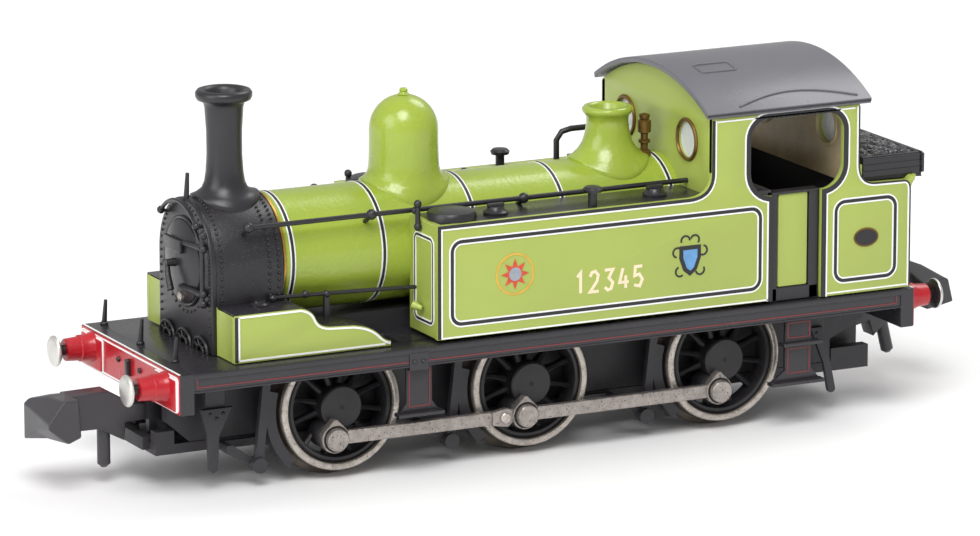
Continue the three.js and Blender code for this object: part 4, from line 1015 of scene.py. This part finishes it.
def mirrored(profile, side):
    """A profile for the left side, turned over for the right."""
    return [(r, side * t) for r, t in profile]


def build_wheel(end, side_name, side):
    """One wheel: flange, tyre, spokes, hub and crank pin."""
    x = AXLES[end]
    body = f"{end}_wheelset"
    centre = (x, 0, AXLE_Z)
    flange = [(3.74, 3.72), (4.6, 3.72), (4.72, 3.8), (4.74, 3.95), (4.66, 4.12), (4.4, 4.25), (4.26, 4.4),
              (4.22, 4.6), (4.21, 5.3), (3.9, 5.45), (3.74, 5.4), (3.74, 3.72)]
    made = lathe(f"{end}_{side_name}_flange", mirrored(flange, side), "Y", centre, FLANGE_STEEL, body, 96, 50)
    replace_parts(made, f"{end}_{side_name}_wheel")
    face = [(3.78, 5.2), (4.215, 5.2), (4.2, 5.48), (4.14, 5.57), (4.06, 5.6), (3.86, 5.6),
            (3.78, 5.56), (3.78, 5.2)]
    lathe(f"{end}_{side_name}_tyre_face", mirrored(face, side), "Y", centre, TYRE_STEEL, body, 96, 50)
    bm = bmesh.new()
    rim = [(3.3, 4.0), (3.73, 4.0), (3.73, 5.3), (3.62, 5.34), (3.55, 5.42), (3.36, 5.42), (3.3, 5.3),
           (3.3, 4.0)]
    add_lathe(bm, mirrored(rim, side), "Y", centre, 72)
    hub = [(0, 5.7), (1.34, 5.7), (1.44, 5.6), (1.44, 3.9), (0, 3.9)]
    add_lathe(bm, mirrored(hub, side), "Y", centre, 48)
    for i in range(12):
        add_spoke(bm, x, side, radians(12 + 30 * i))
    crank_x, crank_z = crank_at(side)
    boss = [(0, 5.6), (0.86, 5.6), (0.94, 5.5), (0.94, 4.2), (0, 4.2)]
    add_lathe(bm, mirrored(boss, side), "Y", (x + crank_x, 0, AXLE_Z + crank_z), 32)
    piece(f"{end}_{side_name}_wheel_centre", bm, WHEEL_BLACK, body, smooth=40)
    # A painted shade disc in the middle of the hub.
    hole = [(0, 5.72), (0.16, 5.72), (0.16, 5.66), (0, 5.66)]
    lathe(f"{end}_{side_name}_hub_recess_shade", mirrored(hole, side), "Y", centre, RECESS_SHADE_BLACK, body, segments=32)
    pin_at = (x + crank_x, 0, AXLE_Z + crank_z)
    pin = [(0, 4.8), (0.35, 4.8), (0.35, 6.5), (0.76, 6.54), (0.76, 6.82), (0.68, 6.92), (0.3, 6.88),
           (0, 6.88)]
    made = lathe(f"{end}_{side_name}_crank_pin_head", mirrored(pin, side), "Y", pin_at, ROD_STEEL, body,
                 40, 40)
    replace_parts(made, f"{end}_{side_name}_crank_pin")


def add_spoke(bm, x, side, turn):
    """One tapering spoke with a ridge down its face."""
    direction = Vector((cos(turn), 0, sin(turn)))
    across = Vector((-sin(turn), 0, cos(turn)))
    rings = []
    for r, half, depth in ((1.3, 0.24, 4.95), (2.4, 0.15, 4.8), (3.45, 0.2, 4.95)):
        middle = Vector((x, 0, AXLE_Z)) + direction * r
        section = ((half, 4.2), (half * 0.9, depth - 0.15), (0, depth), (-half * 0.9, depth - 0.15),
                   (-half, 4.2))
        rings.append([bm.verts.new(middle + across * u + Vector((0, side * w, 0))) for u, w in section])
    join_rings(bm, rings)


def rod_end(x):
    """A round rod end with an oil cup on top."""
    r = 0.97
    cup = [(x + 0.34, r + 0.06), (x + 0.1, r + 0.3), (x - 0.1, r + 0.3), (x - 0.34, r + 0.06)]
    return arc(x, 0, r, 128, 412, 30) + cup


def build_rods(name, side):
    """The coupling rod of one side: bars, eyes and the knuckle joint."""
    crank_x, crank_z = crank_at(side)
    body = f"{name}_rods"
    knuckle = 1.56
    half = 0.45

    def placed(points):
        return [(u + crank_x, v + AXLE_Z + crank_z) for u, v in points]

    for part, low, high in (("rear", AXLES["rear"] + 0.6, -0.6),
                            ("front", knuckle + 0.7, AXLES["front"] - 0.6)):
        bar = placed([(low, -half), (high, -half), (high, half), (low, half)])
        made = side_plate(f"{name}_{part}_rod_bar", bar, side, 5.95, 6.42, ROD_STEEL, bevel=0.1, body=body)
        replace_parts(made, f"{name}_{part}_rod")
    for end, x in AXLES.items():
        hole = placed(arc(x, 0, 0.4, 0, 340, 17))
        side_plate(f"{name}_{end}_rod_eye", placed(rod_end(x)), side, 5.8, 6.5, ROD_STEEL, holes=[hole],
              bevel=0.09, body=body)
        # A painted shade ring in the rod eye, round the crank pin.
        recess = [(0.45, 6.4), (0.88, 6.4), (0.88, 6.53), (0.45, 6.53), (0.45, 6.4)]
        lathe(f"{name}_{end}_eye_recess_shade", mirrored(recess, side), "Y",
              (x + crank_x, 0, AXLE_Z + crank_z), RECESS_SHADE_BLACK, body, segments=40)
    fork = placed([(0.6, -half), (knuckle, -0.5), *arc(knuckle, 0, 0.55, -80, 80, 10), (0.6, half)])
    side_plate(f"{name}_rod_fork", fork, side, 5.92, 6.3, ROD_STEEL, bevel=0.06, body=body)
    joint = placed([*arc(knuckle, 0, 0.64, 100, 260, 10), (knuckle + 0.9, -half), (knuckle + 0.9, half)])
    side_plate(f"{name}_rod_knuckle", joint, side, 6.1, 6.54, ROD_STEEL, bevel=0.06, body=body)
    pin = [(0, 5.9), (0.36, 5.9), (0.36, 6.66), (0.3, 6.72), (0, 6.74)]
    lathe(f"{name}_rod_knuckle_pin", mirrored(pin, side), "Y", (knuckle + crank_x, 0, AXLE_Z + crank_z),
          TYRE_STEEL, body, segments=20)


def build_coupler(name, pivot_x, out, lift, foot):
    """The hook at its lift angle: a head half wedge-nosed and half blunt, a deep arm and the peg."""
    pivot = Vector((pivot_x, 0, 4.75))
    body = f"{name}_coupler_hook"

    def turned(points):
        found = []
        for u, v in points:
            u, v = u - 23.9, v - 4.75
            u, v = u * cos(lift) - v * sin(lift), u * sin(lift) + v * cos(lift)
            found.append((pivot.x + out * u, pivot.z + v))
        return found

    sections = (
        (2.3, [(32.72, 4.66), (32.72, 4.96), (31.64, 6.39), (30.6, 6.4), (30.45, 3.9), (31.34, 3.55)]),
        (0.0, [(32.62, 4.1), (32.62, 5.2), (31.89, 6.3), (30.6, 6.4), (30.45, 3.9), (31.7, 3.4)]),
        (-2.3, [(32.57, foot), (32.57, 5.45), (32.2, 5.7), (30.6, 5.8), (30.45, 3.9), (31.3, foot + 0.1)]),
    )
    bm = bmesh.new()
    join_rings(bm, [[bm.verts.new((u, out * y, v)) for u, v in turned(outline)] for y, outline in sections])
    made = piece(f"{name}_hook_head", bm, COUPLER_BLACK, body, smooth=20, bevel=0.14, segments=3)
    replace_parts(made, f"{name}_coupler")
    arm = turned([(23.45, 5.3), (23.45, 4.2), (26.75, 4.1), (26.85, 2.95), (28.6, 3.88), (30.7, 3.9),
                  (30.7, 6.3), (27.94, 6.34), (26.7, 5.6), (26.2, 5.3)])
    plate(f"{name}_hook_arm", arm, "XZ", -0.75, 0.75, COUPLER_BLACK, bevel=0.1, body=body)
    peg = [(u, 0, v) for u, v in turned([(28.0, 4.4), (28.0, 1.4)])]
    tube(f"{name}_hook_peg", peg, 0.43, COUPLER_BLACK, body, sides=20)
    tip = [(u, 0, v) for u, v in turned([(28.0, 1.42), (28.0, 1.19)])]
    tube(f"{name}_hook_peg_tip", tip, 0.43, COUPLER_BLACK, body, sides=20, end_radius=0.2)


# ---------------------------------------------------------------- painted emblems and numbers

DIGITS = {
    "1": [[(0.2, 0.8), (0.5, 1.0), (0.5, 0.0)]],
    "2": [[(0.05, 0.75), (0.2, 0.95), (0.5, 1.0), (0.75, 0.8), (0.65, 0.5), (0.05, 0.0), (0.8, 0.0)]],
    "3": [[(0.05, 1.0), (0.75, 1.0), (0.4, 0.6), (0.75, 0.35), (0.6, 0.05), (0.3, 0.0), (0.05, 0.15)]],
    "4": [[(0.6, 0.0), (0.6, 0.62)], [(0.35, 1.0), (0.05, 0.3), (0.85, 0.3)]],
    "5": [[(0.75, 1.0), (0.15, 1.0), (0.1, 0.55), (0.5, 0.62), (0.78, 0.35), (0.55, 0.02), (0.05, 0.1)]],
}


def running_number(name, text, start, base, height, step, stroke, level, side):
    """Plain placeholder figures as painted strokes, read from the engine's outside."""
    for i, figure in enumerate(text):
        for k, line in enumerate(DIGITS[figure]):
            points = [(start - side * (i * step + u * height * 0.62), base + v * height) for u, v in line]
            ribbon(f"{name}_{i}_{k}", points, stroke, "XZ", level + side * 0.01 * k, side, CREAM)


def build_transfers(name, side):
    """The emblem, the running number, the crest and the works plate of one side."""
    level = side * SIDE_Y
    first = paint_levels(level, side)
    second = sorted((level, level + side * PAINT * 2))
    middle = (2.27, 12.78)
    closed_line(f"{name}_emblem_ring", arc(*middle, 1.4, 0, 352, 44), 0, 0.14, "XZ", level, side, GOLD)
    star = [(middle[0] + r * cos(pi * i / 8), middle[1] + r * sin(pi * i / 8))
            for i, r in enumerate([1.02, 0.52] * 8)]
    plate(f"{name}_emblem_star", star, "XZ", *first, EMBLEM_RED, bevel=0)
    plate(f"{name}_emblem_disc", arc(*middle, 0.45, 0, 345, 23), "XZ", *second, EMBLEM_GREY, bevel=0)
    start = -2.1 if side > 0 else -7.25
    running_number(f"{name}_number", "12345", start, 11.0, 1.35, 1.08, 0.2, level, side)
    crest = (-10.62, 12.6)
    shield = [(-0.8, 0.75), (0.8, 0.75), (0.8, -0.1), (0.5, -0.9), (0, -1.3), (-0.5, -0.9), (-0.8, -0.1)]
    shield = [(crest[0] + u, crest[1] + v) for u, v in shield]
    plate(f"{name}_crest_shield", shield, "XZ", *first, LINE_BLACK, bevel=0)
    plate(f"{name}_crest_field", inset(shield, 0.28), "XZ", *second, CREST_BLUE, bevel=0)
    curls = ((-0.95, 0.35, 100), (0.95, 0.35, -80), (-0.75, -0.95, 150), (0.75, -0.95, -130),
             (-0.35, 1.1, 20), (0.35, 1.1, -20))
    for k, (u, v, turn) in enumerate(curls):
        curl = arc(crest[0] + u, crest[1] + v, 0.32, turn, turn + 200, 8)
        ribbon(f"{name}_crest_curl_{k}", curl, 0.12, "XZ", level, side, LINE_BLACK)
    oval = [(-23.96 + 0.95 * u, 12.54 + 0.65 * v) for u, v in arc(0, 0, 1, 0, 351, 39)]
    plate(f"{name}_works_plate", oval, "XZ", *first, DARK_BRASS, bevel=0)
    plate(f"{name}_works_plate_face", inset(oval, 0.12), "XZ", *second, LINE_BLACK, bevel=0)


# ---------------------------------------------------------------- frame nodes that stay as they are

def dress_frame():
    """Gives the kept frame nodes their finishes."""
    looks = {
        FRAME_BLACK: ("chassis_block", "keeper_plate", "left_brake_gear", "right_brake_gear"),
        ROD_STEEL: ("front_keeper_screw", "rear_keeper_screw", "motor", "worm_wheel_shaft"),
        TYRE_STEEL: ("front_axle", "middle_axle", "rear_axle"),
        SMOKE_BLACK: ("smokebox",),
        BRASS: ("worm_shaft",),
        PLASTIC: ("worm_wheel", "axle_gear"),
    }
    finish_of = {node: material for material, nodes in looks.items() for node in nodes}
    for node, obj in frame["nodes"].items():
        obj.data.materials.clear()
        obj.data.materials.append(finish_of.get(node, BLACK))


# ---------------------------------------------------------------- light, floor and camera

def build_stage():
    """A pale floor, a white sky and three lamps."""
    scene = bpy.context.scene
    scene.view_settings.view_transform = "Standard"
    sky = bpy.data.worlds.new("studio")
    sky.use_nodes = True
    sky.node_tree.nodes["Background"].inputs["Color"].default_value = (1, 1, 1, 1)
    sky.node_tree.nodes["Background"].inputs["Strength"].default_value = 0.5
    scene.world = sky
    bm = bmesh.new()
    bmesh.ops.create_grid(bm, x_segments=1, y_segments=1, size=3)
    mesh = bpy.data.meshes.new("floor")
    bm.to_mesh(mesh)
    bm.free()
    floor = bpy.data.objects.new("floor", mesh)
    scene.collection.objects.link(floor)
    paper = bpy.data.materials.new("pale_floor")
    paper.use_nodes = True
    paper.node_tree.nodes["Principled BSDF"].inputs["Base Color"].default_value = (0.93, 0.93, 0.93, 1)
    paper.node_tree.nodes["Principled BSDF"].inputs["Roughness"].default_value = 0.6
    mesh.materials.append(paper)
    lights = (("key", (0.25, 0.45, 0.7), 0.5, 5.2), ("fill", (0.6, 0.1, 0.3), 0.5, 1.7),
              ("rim", (-0.5, -0.2, 0.6), 0.4, 1.7))
    for name, place, size, power in lights:
        light = bpy.data.lights.new(name, "AREA")
        light.shape = "DISK"
        light.size = size
        light.energy = power
        lamp = bpy.data.objects.new(name, light)
        lamp.location = place
        lamp.rotation_euler = (Vector((0, 0, 0.01)) - Vector(place)).to_track_quat("-Z", "Y").to_euler()
        scene.collection.objects.link(lamp)


def build_camera():
    """A long lens from the front left, a little above the engine."""
    azimuth, elevation = radians(153.14), radians(13.10)
    distance = 400.6
    target = Vector((0.171, 0, 11.36))
    back = Vector((sin(azimuth) * cos(elevation), -cos(azimuth) * cos(elevation), sin(elevation)))
    lens = bpy.data.cameras.new("photo_camera")
    lens.sensor_width = 36
    lens.lens = 223.18
    lens.clip_start = 0.01
    camera = bpy.data.objects.new("photo_camera", lens)
    camera.location = world(target + back * distance)
    camera.rotation_euler = (-back).to_track_quat("-Z", "Y").to_euler()
    bpy.context.scene.collection.objects.link(camera)
    bpy.context.scene.camera = camera


build_camera()
build_stage()
dress_frame()
build_boiler()
build_smokebox()
build_smokebox_door()
build_mountings()
build_boiler_handrails()
for side_name, side_sign in SIDES.items():
    build_side(side_name, side_sign)
    build_sandbox(side_name, side_sign)
    build_tank_fittings(side_name, side_sign)
    build_rods(side_name, side_sign)
    build_transfers(side_name, side_sign)
    for wheel_end in AXLES:
        build_wheel(wheel_end, side_name, side_sign)
build_cab()
build_bunker()
build_front_fittings()
build_footplate()
build_beam("front", FRONT_BEAM, 1)
build_beam("rear", REAR_BEAM, -1)
build_coupler("front", 23.9, 1, 0.0, 3.0)
build_coupler("rear", -25.5, -1, radians(14), 3.75)
